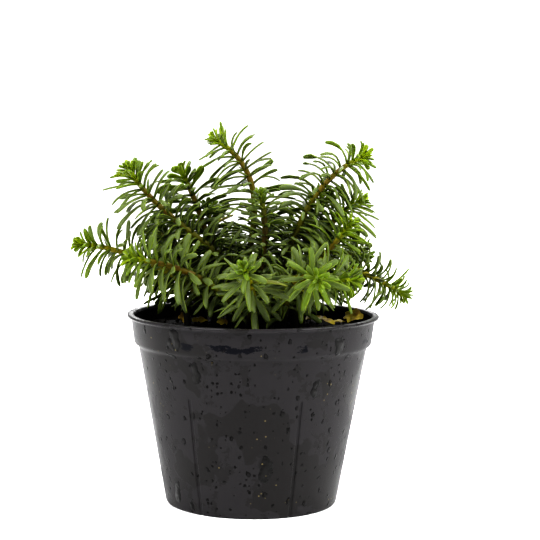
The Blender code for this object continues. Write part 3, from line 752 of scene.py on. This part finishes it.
shootPlan = {
    # where it is planted (x, y), two Bezier handles and the tip, in mm
    "left_upper": ((3, 2), (6.5, -1.5, 88), (-27.5, -1, 92), (-44.5, -4, 119.2)),
    "top": ((-3, 3), (-9.5, 2.5, 83), (14.0, 3, 113.5), (-14.2, 6, 129.8)),
    "right_upper": ((9, 0), (8.5, 1, 76), (13, 3, 114), (39.3, 4, 124.5)),
    "left_low": ((-12, 3), (-10, 5, 73.5), (-39, 1.5, 91), (-62.4, 0, 92)),
    "right_low": ((16, 3), (8, 5.5, 97), (31.5, 6, 88), (55.2, 8, 74.2)),
    "left_front": ((-6, -8), (-4.5, -7, 77.5), (-21.5, -19.5, 86.5), (-42.5, -22, 89)),
    "right_front": ((5, -10), (5.5, -8, 78.5), (4.5, -20.5, 86), (34.5, -26, 82.5)),
    "front_right": ((10, -17), (9, -16, 77), (17, -22, 87), (21.5, -42, 84)),
    "front_centre": ((-2, -16), (-1, -17, 74), (2, -28, 76), (-3.2, -43.5, 88.0)),
    "left_middle": ((-4, 9), (-14, 11, 73.5), (-13.5, 11, 92.5), (-26.5, 14, 118)),
    "right_middle": ((16, 9), (20.5, 9.5, 73), (20, 9.5, 100.5), (38, 12, 107.5)),
    "right_inner": ((15, -2), (12.5, -5, 76), (22.5, -3, 85), (34, -7, 101)),
    "centre": ((4, -4), (-8, -4, 72), (9.5, -4, 84), (2, -7, 111)),
    "right_back": ((11, 12), (11, 13, 85), (21, 11, 93), (24.5, 8, 111)),
    "left_inner": ((-17, 10), (-18, 10, 76), (-27, 11, 84), (-35, 12, 100)),
    "back_centre": ((2, 10), (2, 11, 80), (4, 15, 90), (6, 20, 99)),
    "back_left": ((-8, 18), (-9, 18, 80), (-16, 17, 90), (-17, 19, 105)),
    "back_right": ((7, 20), (7, 21, 82), (12, 27, 94), (19, 36, 97)),
    "rear_left": ((-18, 16), (-18, 17, 82), (-26, 20, 92), (-38, 26, 96)),
    "rear_right": ((13.5, 17.5), (14, 18, 82), (26, 23, 90), (42, 28, 87)),
    "rear_low": ((-23, -1), (-23.5, -1, 75), (-27, 12, 86), (-38, 21, 82)),
    "rear_centre": ((-5, 23), (-5, 24, 80), (-6, 32, 88), (-9, 44, 90)),
}

usualLook = {
    "reach": 1.0,     # length of the leaves, 1 is usual
    "gap": 1.0,       # space between whorls, 1 is usual
    "bright": 1.0,    # how yellow-green the tip is; below 1 the shoot is also duller and its stem darker, painted shade
    "agedAndShaded": 1.0,      # how soon its leaves turn dark behind the tip: their age, and painted shade on shaded shoots
    "loss": 0.6,      # share of the oldest leaves that has dropped
    "lowest": 68.5,   # leaves that would hang lower than this have dropped
    "width": 1.0,
    "slimmest": 0.82,  # width of the narrowest leaf, 1 is usual
    "gold": 0.3,      # how golden the stem is
    "spread": 0.0,    # degrees more that a grown leaf stands off from the stem
    "hook": 0.0,      # and that its end turns further back
}

# the dull tips and quick darkening given to the shoots in the middle and at the back are painted shade
ownLook = {
    "top": {"hook": -12.0, "spread": 6.0, "slimmest": 0.5, "gold": 0.15},
    "left_upper": {
        "gap": 0.9, "hook": -6.0, "spread": -6.0, "width": 1.08, "agedAndShaded": 1.1, "bright": 1.15, "gold": 0.15,
    },
    "left_low": {"reach": 0.9, "gap": 0.9, "spread": -4.0, "lowest": 76.0, "bright": 1.25, "gold": 0.8},
    "right_upper": {"reach": 1.05, "hook": 16.0, "slimmest": 0.7, "gold": 0.3},
    "right_low": {
        "reach": 0.78, "hook": 20.0, "gap": 0.68, "bright": 0.95, "loss": 0.4, "width": 0.74, "gold": 1.0,
    },
    "left_front": {"width": 1.12, "loss": 0.0, "gold": 0.0, "agedAndShaded": 1.3},
    "front_centre": {
        "gap": 1.45, "gold": 0.9, "bright": 0.75, "width": 1.28, "reach": 0.90, "loss": 0.9, "lowest": 64.0,
        "agedAndShaded": 2.4,
    },
    "front_right": {"gap": 1.7, "bright": 0.75, "width": 1.15, "loss": 0.9, "lowest": 66.5},
    "right_front": {"gap": 1.1, "bright": 0.9},
    "centre": {"bright": 0.3, "agedAndShaded": 2.2, "reach": 0.75, "gap": 1.2, "hook": -12.0, "gold": 0.0},
    "back_centre": {"bright": 0.1, "gap": 1.7},
    "back_left": {"bright": 0.5, "agedAndShaded": 2.0, "gap": 1.3},
    "back_right": {"bright": 0.2, "gap": 1.4},
    "left_middle": {"bright": 1.1, "agedAndShaded": 1.5, "width": 1.35, "hook": -14.0, "loss": 0.2},
    "left_inner": {"bright": 0.3, "width": 1.2},
    "right_middle": {"bright": 1.2, "reach": 1.25, "gap": 0.9, "hook": -12.0, "spread": -6.0},
    "right_inner": {"bright": 1.1},
    "right_back": {"bright": 0.8, "gap": 1.2, "hook": -12.0},
    "rear_left": {"bright": 0.3},
    "rear_right": {"bright": 0.3},
    "rear_low": {"bright": 0.1},
    "rear_centre": {"bright": 0.2},
}

growth = {
    "rootHeight": 57.0,
    "sides": 6,              # leaves in a whorl
    "turn": 30.0,            # degrees from one whorl to the next
    "firstGap": 1.1,
    "moreGap": 0.40,         # each gap is wider than the last by this
    "mostGap": 2.9,
    "bareFoot": 8.0,
    "stemTip": 0.90,
    "stemRoot": 1.42,
    "budTaper": 3.0,         # length over which the stem narrows into the bud
    "stemCorners": 12,
    "stemStep": 0.7,
    "pastTip": (0.2, 0.8),   # how far past the tip the stem's last two rings lie
    "tipShares": (0.7, 0.15),  # and their share of its radius there
    "knotReach": 0.55,       # half the length of a swelling
    "knotPast": 0.2,         # how far it lies past its whorl, towards the tip
    "knotsFrom": 6.0,        # distance from the tip over which the swellings grow
    "swelling": 0.025,       # share of the stem's radius that it stands out by
    "ribs": 0.03,            # and that the ribs do
    # the random draws: spread of each angle in degrees, and range of the reach
    "turnSpread": 6.0,
    "azimuthSpread": 8.0,
    "reachRange": (0.76, 1.10),
    "openSpread": 8.0,
    "curlSpread": 15.0,
    "twistSpread": 32.0,
    "bendSpread": 10.0,
    "dropsFrom": 0.35,       # share of the stem above which no leaf has dropped
    "halfWidth": 0.94,
    "widest": 1.18,          # width of the widest leaf, 1 is usual
    "thickness": 0.66,
    # the share of its width and thickness that the youngest leaf has, and what age adds
    "youngWidth": (0.72, 0.28),
    "youngThickness": (0.9, 0.1),
    "channel": (0.20, 1.6),  # rise of a blade's edges as a share of its half width, and its power
    "midrib": 0.07,          # how deep the line down the upper face is
    "rooted": 0.75,          # share of the stem's radius at which a leaf's line starts
    "full": 13.8,            # length of a grown leaf
    "bud": 3.7,              # and of the youngest
    "growsOver": 5.0,        # distance from the tip over which leaves lengthen, and over which they open
    "opensOver": 4.0,
    "budOpen": 1.2,          # the youngest are as open as if they were this far from the tip
    "baseAngle": (8.0, 60.0),  # degrees to the stem at a leaf's foot in the bud, and what a grown leaf adds
    "endAngle": (22.0, 84.0),  # the same at its end
    "droop": 0.010,
    "toLight": 0.75,         # how far leaves may turn their faces up and out
    "firstSeed": 954,
}


def bezierLine(plan, g):
    # the cubic Bezier of the four points, its length so far, its tangents and a frame that doesn't twist
    root, first, second, tip = plan
    ends = np.array([(*root, g["rootHeight"]), first, second, tip], float)
    t = np.linspace(0, 1, 240)[:, None]
    near = (1 - t) ** 3 * ends[0] + 3 * (1 - t) ** 2 * t * ends[1]
    line = near + 3 * (1 - t) * t**2 * ends[2] + t**3 * ends[3]
    so = np.concatenate([[0.0], np.cumsum(np.linalg.norm(np.diff(line, axis=0), axis=1))])
    along = unit(np.gradient(line, so, axis=0))
    heading = ends[3] - ends[0]
    flat = unit(np.array([heading[1], -heading[0], 0.0]))
    side = unit(flat - (along @ flat)[:, None] * along)
    return {"line": line, "so": so, "along": along, "side": side, "length": so[-1]}


def frameAt(b, where):
    # centre, direction and the two directions across the stem at these lengths from the root
    inside = np.clip(where, 0.0, b["length"])
    centre = np.stack([np.interp(inside, b["so"], b["line"][:, i]) for i in range(3)], -1)
    along = unit(np.stack([np.interp(inside, b["so"], b["along"][:, i]) for i in range(3)], -1))
    side = np.stack([np.interp(inside, b["so"], b["side"][:, i]) for i in range(3)], -1)
    side = unit(side - (side * along).sum(-1, keepdims=True) * along)
    centre = centre + along * (where - inside)[:, None]
    return centre, along, side, np.cross(along, side)


def whorlDistances(length, look, g):
    # distances from the tip: each gap is a little wider than the last, up to the widest
    gaps = np.minimum(g["mostGap"], g["firstGap"] + g["moreGap"] * np.arange(200)) * look["gap"]
    found = np.concatenate([[0.0], np.cumsum(gaps)])
    return found[found < length]


def stemRadius(fromTip, length, g):
    # narrows evenly from the root to the tip, and by a half more inside the bud
    even = g["stemTip"] + (g["stemRoot"] - g["stemTip"]) * fromTip / length
    return even * (0.5 + 0.5 * smoothStep(-0.5, g["budTaper"], fromTip))


def growStem(b, whorls, look, g):
    # a ring of points carried along the line; it swells into six cushions at each whorl
    where = np.concatenate([np.arange(0.0, b["length"], g["stemStep"]), b["length"] + np.array(g["pastTip"])])
    centre, along, side, up = frameAt(b, where)
    fromTip = b["length"] - where
    knots = b["length"] - whorls
    swell = np.exp(-(((where[:, None] - knots - g["knotPast"]) / g["knotReach"]) ** 2)).max(axis=1)
    swell = swell * smoothStep(0.0, g["knotsFrom"], fromTip)
    radius = stemRadius(fromTip, b["length"], g)
    radius[-2:] *= np.array(g["tipShares"])
    rows, columns = len(where), g["stemCorners"]
    around = np.arange(columns) * 2 * np.pi / columns
    rib = g["ribs"] * np.cos(g["sides"] * around)
    ribs = 1 + rib + swell[:, None] * (g["swelling"] + rib)
    ring = side[:, None] * np.cos(around)[None, :, None] + up[:, None] * np.sin(around)[None, :, None]
    points = centre[:, None] + ring * (radius[:, None] * ribs)[..., None]
    ends = np.stack([centre[0] - along[0] * 0.1, centre[-1] + along[-1] * 0.1])
    count = rows * columns + 2
    values = {
        "fromTip": np.concatenate([np.repeat(fromTip, columns), [b["length"], 0.0]]),
        "knot": np.concatenate([np.repeat(swell, columns), [0.0, 0.0]]),
        "gold": np.full(count, look["gold"]),
        "dull": np.full(count, max(0.0, 1.0 - look["bright"])),
    }
    points = np.concatenate([points.reshape(-1, 3), ends]) * mm
    return points, gridFaces(rows, columns, True), poleCaps(rows, columns), values


# a blade's rows of points, at some of its 24 steps, with their widths and thickness
leafSteps = 24
leafRows = np.array([0, 4, 9, 14, 19, 22, 24])
grownWidths = np.array([0.38, 0.50, 0.76, 0.98, 1.0, 0.86, 0.50])
youngWidths = np.array([0.62, 0.74, 0.90, 1.0, 1.0, 0.86, 0.52])
leafThickness = np.array([1.25, 1.1, 1.0, 1.0, 0.95, 0.85, 0.6])
# the points round a row: where each lies across the blade, and whether over or under it
leafAcross = np.array([-1.0, -0.5, 0.0, 0.5, 1.0, 0.5, 0.0, -0.5])
leafUpper = np.array([0.0, 1.0, 1.0, 1.0, 0.0, -1.0, -1.0, -1.0])


def drawLots(b, whorls, seed, look, g):
    # each leaf's own chance: heading, reach, angles and whether it is still there
    draw = np.random.default_rng(seed)
    turn = draw.uniform(0.0, 360.0)
    n = g["sides"]
    lots = {"azimuth": [], "reach": [], "open": [], "curl": [], "kept": [], "distance": []}
    for distance in whorls:
        turn += g["turn"] + draw.uniform(-g["turnSpread"], g["turnSpread"])
        age = distance / b["length"]
        lots["azimuth"].append(turn + np.arange(n) * 360.0 / n + draw.normal(0.0, g["azimuthSpread"], n))
        lots["reach"].append(draw.uniform(*g["reachRange"], n))
        lots["open"].append(draw.normal(0.0, g["openSpread"], n))
        lots["curl"].append(draw.normal(0.0, g["curlSpread"], n))
        lots["kept"].append(draw.random(n) > look["loss"] * max(age - g["dropsFrom"], 0.0))
        lots["distance"].append(np.full(n, distance))
    return {key: np.concatenate(value) for key, value in lots.items()}


daylight = {
    "out": 0.55,             # how much of it comes from outside
    "up": 0.85,              # and how much from above
    "middle": 4.0,           # distance from the pot's axis at which half of the first is left
    "mostTurn": 1.3,         # radians
}


def lightTurn(spine, flow, wide, face, s):
    # the angle about the blade's own line that would turn its face up and away from the pot's middle
    out = spine * np.array([1.0, 1.0, 0.0])
    out = out / (np.linalg.norm(out, axis=-1, keepdims=True) + s["middle"])
    wish = out * s["out"] + np.array([0.0, 0.0, s["up"]])
    wish = wish - (wish * flow).sum(-1, keepdims=True) * flow
    turn = np.arctan2((wish * wide).sum(-1), (wish * face).sum(-1))
    return np.clip(turn, -s["mostTurn"], s["mostTurn"])


resting = {
    "soilEdge": 41.0,        # inside this radius a leaf rests on the soil
    "overSoil": 0.5,
    "rim": (40.2, 45.8),     # between these radii it rests on the rim
    "overRim": 68.6,
}


def settle(spine, s):
    # leaves rest on the soil and on the pot's rim, and don't pass through them
    far = np.hypot(spine[..., 0], spine[..., 1])
    height = spine[..., 2]
    ground = soilTop(spine[..., 0], spine[..., 1], soilShape) + s["overSoil"]
    inside = (far[:, :1] < s["soilEdge"]) & (far < s["soilEdge"])
    height = np.where(inside, np.maximum(height, ground), height)
    nearRim = (far > s["rim"][0]) & (far < s["rim"][1])
    height = np.where(nearRim, np.maximum(height, s["overRim"]), height)
    return np.concatenate([spine[..., :2], height[..., None]], axis=-1)


def bladeFaces(count):
    # quads and triangles of this many blades, each a tube of rows that two quads and two triangles
    # close at each end
    rows, columns = len(leafRows), len(leafAcross)
    last = (rows - 1) * columns
    quadEnds = np.array([[1, 2, 6, 7], [2, 3, 5, 6]])
    triangleEnds = np.array([[0, 1, 7], [3, 4, 5]])
    tube = gridFaces(rows, columns, True)[:, ::-1]
    quads = np.concatenate([tube, quadEnds, quadEnds[:, ::-1] + last])
    triangles = np.concatenate([triangleEnds, triangleEnds[:, ::-1] + last])
    shift = (np.arange(count) * rows * columns)[:, None, None]
    return (quads + shift).reshape(-1, 4), (triangles + shift).reshape(-1, 3)


def growLeaves(b, whorls, seed, look, g):
    # blades: the angle to the stem runs from first to last with share^1.2, so a blade is the running sum of
    # cos(angle) along + sin(angle) out; it droops with the square of its length. Round it go 8 points:
    # both edges, 3 over and 3 under, with a shallow channel down the middle
    lots = drawLots(b, whorls, seed, look, g)
    own = np.random.default_rng(seed + 7000)
    count = len(lots["kept"])
    twist = own.normal(0.0, g["twistSpread"], count)
    tone = own.uniform(0.0, 1.0, count)
    bend = own.normal(0.0, g["bendSpread"], count)
    slim = own.uniform(look["slimmest"], g["widest"], count)
    lean = own.uniform(0.0, g["toLight"], count)
    distance, azimuth = lots["distance"], np.radians(lots["azimuth"])
    centre, along, side, up = frameAt(b, b["length"] - distance)
    out = side * np.cos(azimuth)[:, None] + up * np.sin(azimuth)[:, None]
    opening = 1 - np.exp(-(distance + g["budOpen"]) / g["opensOver"])
    grown = 1 - np.exp(-((distance / g["growsOver"]) ** 1.5))
    length = (g["bud"] + (g["full"] - g["bud"]) * grown) * lots["reach"] * look["reach"]
    (young, more), (youngEnd, moreEnd) = g["baseAngle"], g["endAngle"]
    first = young + (more + look["spread"]) * opening + lots["open"]
    last = youngEnd + (moreEnd + look["hook"]) * opening + lots["curl"]
    share = (np.arange(leafSteps) + 0.5) / leafSteps
    angle = np.radians(first[:, None] + (last - first)[:, None] * share**1.2)
    across = np.cross(along, out)
    yaw = np.radians(bend)[:, None] * share
    outward = out[:, None] * np.cos(yaw)[..., None] + across[:, None] * np.sin(yaw)[..., None]
    step = np.cos(angle)[..., None] * along[:, None] + np.sin(angle)[..., None] * outward
    step = step * (length / leafSteps)[:, None, None]
    start = centre + out * (stemRadius(distance, b["length"], g) * g["rooted"])[:, None]
    spine = np.concatenate([start[:, None], start[:, None] + np.cumsum(step, axis=1)], axis=1)
    u = np.arange(leafSteps + 1) / leafSteps
    spine[..., 2] -= g["droop"] * (length[:, None] * u) ** 2
    kept = lots["kept"] & (spine[:, -1, 2] > look["lowest"])
    spine, across = settle(spine[kept], resting), across[kept]
    distance, twist, tone, slim, lean = distance[kept], twist[kept], tone[kept], slim[kept], lean[kept]
    # each row's directions along, across and out of the blade, turned by its twist and towards the light
    flow = unit(np.gradient(spine, axis=1))[:, leafRows]
    spine, u = spine[:, leafRows], u[leafRows]
    wide = unit(across[:, None] - (across[:, None] * flow).sum(-1, keepdims=True) * flow)
    face = np.cross(wide, flow)
    towards = lightTurn(spine, flow, wide, face, daylight)
    turned = (np.radians(twist)[:, None] + towards * lean[:, None]) * u**0.7
    cosT, sinT = np.cos(turned)[..., None], np.sin(turned)[..., None]
    wide, face = wide * cosT + face * sinT, face * cosT - wide * sinT
    age = 1 - np.exp(-distance / g["opensOver"])
    blade = youngWidths + (grownWidths - youngWidths) * age[:, None]
    (narrow, widens), (thin, thickens), (edgeRise, power) = g["youngWidth"], g["youngThickness"], g["channel"]
    half = g["halfWidth"] * look["width"] * ((narrow + widens * age) * slim)[:, None] * blade
    thick = g["thickness"] * (thin + thickens * age)[:, None] * leafThickness
    rise = 0.5 * thick[..., None] * leafUpper * np.sqrt(1 - 0.75 * leafAcross**2)
    channel = half[..., None] * edgeRise * np.abs(leafAcross) ** power * (1 - 0.5 * u)[None, :, None]
    channel = channel - np.where((leafAcross == 0) & (leafUpper > 0), g["midrib"], 0.0)
    points = (
        spine[:, :, None]
        + wide[:, :, None] * (half[..., None] * leafAcross)[..., None]
        + face[:, :, None] * (rise + channel)[..., None]
    )
    shape = points.shape[:3]
    values = {
        "fromTip": np.broadcast_to(distance[:, None, None] * look["agedAndShaded"], shape),
        "bright": np.full(shape, look["bright"]),
        "tone": np.broadcast_to(tone[:, None, None], shape),
        "reach": np.broadcast_to(u[None, :, None], shape),
        "across": np.broadcast_to(leafAcross, shape),
        "upper": np.broadcast_to(leafUpper * 0.5 + 0.5, shape),
    }
    return points * mm, *bladeFaces(len(distance)), values


leafFinish = {
    "bud": (0.210, 0.285, 0.002, 1),
    "young": (0.088, 0.140, 0.002, 1),
    "grown": (0.044, 0.066, 0.010, 1),
    # painted sheen: the grey cast of the old colour stands in for light reflected off older leaves
    "old": (0.029, 0.037, 0.021, 1),
    "under": (0.080, 0.106, 0.028, 1),
    "yellow": (0.330, 0.280, 0.010, 1),
    "vein": (0.150, 0.190, 0.030, 1),
    # painted light: the margins' pale yellow-green stands in for light shining through the thin edges
    "edge": (0.190, 0.250, 0.004, 1),
    "mottle": (420.0, 2600.0, 0.38, 0.66),
    "throughLight": 0.30,               # how much light passes through a leaf
    "throughReach": (0.7, 1.0, 0.15),
    "throughScale": 0.0010,
    # distances from the tip, in mm, over which one colour gives way to the next
    "budEnds": (0.5, 5.5),
    "youngEnds": (4.0, 15.0),
    "grownEnds": (20.0, 48.0),
    "specular": 0.18,
    "roughness": 0.32,
    "grainRougher": 0.16,
    "underRougher": 0.15,
    "relief": (0.00012, 0.7),
}


def makeLeafGreen(finish):
    material, tree, shader = newMaterial("rotalaLeaf", finish["specular"])
    shader.inputs["Subsurface Weight"].default_value = finish["throughLight"]
    shader.inputs["Subsurface Radius"].default_value = finish["throughReach"]
    shader.inputs["Subsurface Scale"].default_value = finish["throughScale"]
    given = [attributeValue(tree, name) for name in ("fromTip", "tone", "across", "upper", "reach", "bright")]
    fromTip, tone, across, upper, reach, bright = given
    across = calc(tree, "ABSOLUTE", across)
    blotch, grain = placeMottle(tree, *finish["mottle"])
    # the distance from the tip, shifted for each leaf and each shoot, and towards a young leaf's end; the
    # shift for a dull shoot is painted shade
    shifted = calc(tree, "MULTIPLY_ADD", tone, 5.0, calc(tree, "SUBTRACT", fromTip, 2.5))
    duller = calc(tree, "MULTIPLY_ADD", bright, -6.0, 6.0)
    darker = times(tree, reach, remap(tree, fromTip, 2.0, 9.0, 4.0, 0.0))
    shifted = calc(tree, "ADD", calc(tree, "ADD", shifted, duller), darker)
    colour = blendColour(tree, remap(tree, shifted, *finish["budEnds"]), finish["bud"], finish["young"])
    colour = blendColour(tree, remap(tree, shifted, *finish["youngEnds"]), colour, finish["grown"])
    # further from the tip, and at random, leaves turn dark with a grey cast: their age, and painted sheen
    colour = blendColour(tree, remap(tree, shifted, *finish["grownEnds"]), colour, finish["old"])
    colour = blendColour(tree, times(tree, times(tree, tone, tone), 0.4), colour, finish["old"])
    colour = blendColour(tree, times(tree, blotch, 0.18), colour, finish["young"])
    vein = remap(tree, across, 0.0, 0.26, 0.75, 0.0)
    colour = blendColour(tree, times(tree, vein, upper), colour, finish["vein"])
    facingDown = remap(tree, upper, 0.3, 0.7, 1.0, 0.0)
    below = times(tree, facingDown, remap(tree, fromTip, 3.0, 12.0, 0.1, 0.75))
    colour = blendColour(tree, below, colour, finish["under"])
    # painted light: the blade's margins paler, as if lit through
    rim = times(tree, remap(tree, across, 0.72, 1.0), 0.55)
    colour = blendColour(tree, rim, colour, finish["edge"])
    # one leaf in a hundred, away from the tip, is turning yellow
    yellowing = times(tree, remap(tree, tone, 0.985, 0.995), remap(tree, fromTip, 12.0, 20.0))
    colour = blendColour(tree, yellowing, colour, finish["yellow"])
    tree.links.new(colour, shader.inputs["Base Color"])
    rough = calc(tree, "MULTIPLY_ADD", grain, finish["grainRougher"], finish["roughness"])
    rough = calc(tree, "MULTIPLY_ADD", below, finish["underRougher"], rough)
    tree.links.new(rough, shader.inputs["Roughness"])
    lift = calc(tree, "MULTIPLY_ADD", vein, -0.6, grain)
    bumpInto(tree, shader, calc(tree, "MULTIPLY_ADD", reach, 0.01, lift), *finish["relief"])
    return material


stemFinish = {
    "fresh": (0.160, 0.200, 0.003, 1),
    "red": (0.080, 0.046, 0.004, 1),
    "olive": (0.060, 0.064, 0.003, 1),
    "gold": (0.180, 0.162, 0.006, 1),
    "node": (0.080, 0.088, 0.003, 1),
    "dark": (0.022, 0.020, 0.006, 1),
    "nearBlackLow": (0.006, 0.005, 0.003, 1),
    "mottle": (240.0, 1800.0, 0.44, 0.56),
    # distances from the tip, in mm, over which the stem changes
    "freshEnds": (2.0, 10.0),
    "redEnds": (20.0, 34.0),
    "darkens": (32.0, 60.0),
    "nearBlackUnder": (0.066, 0.076),   # heights in metres
    "specular": 0.10,
    "roughness": 0.35,
    "grainRougher": 0.2,
    "relief": (0.0001, 0.6),
}


def makeStemSkin(finish):
    material, tree, shader = newMaterial("rotalaStem", finish["specular"])
    fromTip, gold, knot, dull = [attributeValue(tree, name) for name in ("fromTip", "gold", "knot", "dull")]
    blotch, grain = placeMottle(tree, *finish["mottle"])
    colour = blendColour(tree, remap(tree, fromTip, *finish["redEnds"]), finish["red"], finish["olive"])
    colour = blendColour(tree, gold, colour, finish["gold"])
    colour = blendColour(tree, times(tree, blotch, 0.4), colour, finish["node"])
    colour = blendColour(tree, times(tree, knot, 0.2), colour, finish["node"])
    colour = blendColour(tree, remap(tree, fromTip, *finish["freshEnds"]), finish["fresh"], colour)
    # the stem turns dark towards the root: its age, and painted shade under the leaves
    colour = blendColour(tree, remap(tree, fromTip, *finish["darkens"]), colour, finish["dark"])
    # painted shade: the stem of a dull shoot turns dark
    colour = blendColour(tree, times(tree, dull, 0.8), colour, finish["dark"])
    # the stem darkens to near black towards the bottom, from 76 mm down to 66 mm
    height = addNode(tree, "ShaderNodeSeparateXYZ", Vector=objectPlace(tree)).outputs["Z"]
    nearBlackLow = remap(tree, height, *finish["nearBlackUnder"], 1.0, 0.0)
    colour = blendColour(tree, nearBlackLow, colour, finish["nearBlackLow"])
    tree.links.new(colour, shader.inputs["Base Color"])
    rough = calc(tree, "MULTIPLY_ADD", grain, finish["grainRougher"], finish["roughness"])
    tree.links.new(rough, shader.inputs["Roughness"])
    bumpInto(tree, shader, grain, *finish["relief"])
    return material


leafGreen = makeLeafGreen(leafFinish)
stemSkin = makeStemSkin(stemFinish)
leafCount = 0
faceCount = 0
for number, (name, plan) in enumerate(shootPlan.items()):
    line = bezierLine(plan, growth)
    look = {**usualLook, **ownLook.get(name, {})}
    whorls = whorlDistances(line["length"] - growth["bareFoot"], look, growth)
    points, quads, triangles, values = growStem(line, whorls, look, growth)
    meshPiece(name + "_stem", points, quads, stemSkin, (), values, triangles)
    seed = growth["firstSeed"] + number
    points, quads, triangles, values = growLeaves(line, whorls, seed, look, growth)
    node = "shoot_" + name
    meshPiece(name + "_leaves", points, quads, leafGreen, (node,), values, triangles)
    leafCount += len(points)
    faceCount += len(quads) * 2 + len(triangles)
print("shoots:", len(shootPlan), "with", leafCount, "leaves of", faceCount, "triangles")


# fallen leaves

fallenPlan = {
    # centre, length, width, heading, tilt along and tilt across
    "fallen_leaf_wall": ((36.6, 7.0, 66.2), 10.2, 5.4, -54.0, 0.0, 48.0),
    "fallen_leaf_long": ((25.4, 8.4, 64.5), 12.4, 3.4, -50.0, 7.0, 6.0),
    "fallen_leaf_small": ((31.2, 7.3, 64.2), 4.8, 2.8, 14.0, 0.0, 8.0),
    "fallen_leaf_left": ((-24.8, 7.5, 65.0), 4.8, 4.2, 20.0, 0.0, 46.0),
    "fallen_leaf_low": ((-19.2, 3.6, 64.5), 5.6, 3.2, 8.0, 0.0, 30.0),
    "fallen_leaf_centre": ((-10.9, -3.2, 64.9), 4.2, 3.0, 15.0, 0.0, 42.0),
    "fallen_leaf_scrap": ((19.3, 14.5, 64.3), 4.6, 3.0, -35.0, 0.0, 12.0),
}

fallenGrid = (25, 15)    # points along and across


def turnMatrix(across, along, heading):
    # turns about X by across, then about Y by along, then about Z by heading
    a, b, c = np.radians([across, along, heading])
    rx = np.array([[1, 0, 0], [0, np.cos(a), -np.sin(a)], [0, np.sin(a), np.cos(a)]])
    ry = np.array([[np.cos(b), 0, np.sin(b)], [0, 1, 0], [-np.sin(b), 0, np.cos(b)]])
    rz = np.array([[np.cos(c), -np.sin(c), 0], [np.sin(c), np.cos(c), 0], [0, 0, 1]])
    return rz @ ry @ rx


def fallenPoints(row, seed):
    # an oval blade, x along and y across, arched up with wavy, nibbled edges; a second sheet lies
    # 0.26 mm under its middle and meets it at the edge
    centre, length, width, heading, along, across = row
    x = np.linspace(-1, 1, fallenGrid[0])[:, None]
    y = np.linspace(-1, 1, fallenGrid[1])[None, :]
    lobes = 1 + 0.16 * np.sin(7 * x + seed) + 0.10 * np.sin(13 * x + 2 * seed)
    narrow = (1.0 - 0.72 * np.abs(x) ** 2.2) * lobes
    px = x * length / 2 + 0 * y
    py = y * narrow * width / 2
    arch = 0.06 * length * (1 - x * x) + 0.10 * width * y * y
    wave = 0.05 * width * (np.sin(5 * x + seed) * y + waves(px, py, seed, 10, 1.5, 5.0) * 0.5)
    z = arch + wave
    edge = np.maximum(np.abs(x), np.abs(y))
    thin = 0.13 * (1 - edge**6)
    upper = np.stack([px, py, z + thin], -1)
    lower = np.stack([px, py, z - thin], -1)
    points = np.concatenate([upper.reshape(-1, 3), lower.reshape(-1, 3)])
    return points @ turnMatrix(across, along, heading).T + np.array(centre)


def fallenFaces(rows, columns):
    # the two sheets, and a strip of quads round their shared edge
    upper = gridFaces(rows, columns, False)
    lower = upper[:, ::-1] + rows * columns
    index = np.arange(rows * columns).reshape(rows, columns)
    rim = np.concatenate([index[0, :-1], index[:-1, -1], index[-1, :0:-1], index[:0:-1, 0]])
    following = np.roll(rim, -1)
    strip = np.stack([rim, following, following + rows * columns, rim + rows * columns], -1)
    return np.concatenate([upper[:, ::-1], lower[:, ::-1], strip])


fallenFinish = {
    "yellow": (0.46, 0.36, 0.028, 1),
    "brown": (0.26, 0.16, 0.02, 1),
    "pale": (0.56, 0.49, 0.09, 1),
    "mottle": (330.0, 2200.0, 0.42, 0.64),
    "specular": 0.5,
    "roughness": 0.45,
    "grainRougher": 0.25,
    "relief": (0.0003, 0.7),
}


def makeDryLeaf(finish):
    material, tree, shader = newMaterial("dryLeaf", finish["specular"])
    blotch, grain = placeMottle(tree, *finish["mottle"])
    colour = blendColour(tree, blotch, finish["yellow"], finish["brown"])
    colour = blendColour(tree, remap(tree, grain, 0.55, 0.7, 0.0, 0.5), colour, finish["pale"])
    tree.links.new(colour, shader.inputs["Base Color"])
    rough = calc(tree, "MULTIPLY_ADD", grain, finish["grainRougher"], finish["roughness"])
    tree.links.new(rough, shader.inputs["Roughness"])
    bumpInto(tree, shader, calc(tree, "MULTIPLY_ADD", blotch, 0.6, grain), *finish["relief"])
    return material


dryLeaf = makeDryLeaf(fallenFinish)
for number, (name, row) in enumerate(fallenPlan.items()):
    points = fallenPoints(row, 3 * number + 1) * mm
    label = "dry_" + name.removeprefix("fallen_")
    meshPiece(label, points, fallenFaces(*fallenGrid), dryLeaf, (name,))
print("fallen leaves:", len(fallenPlan))
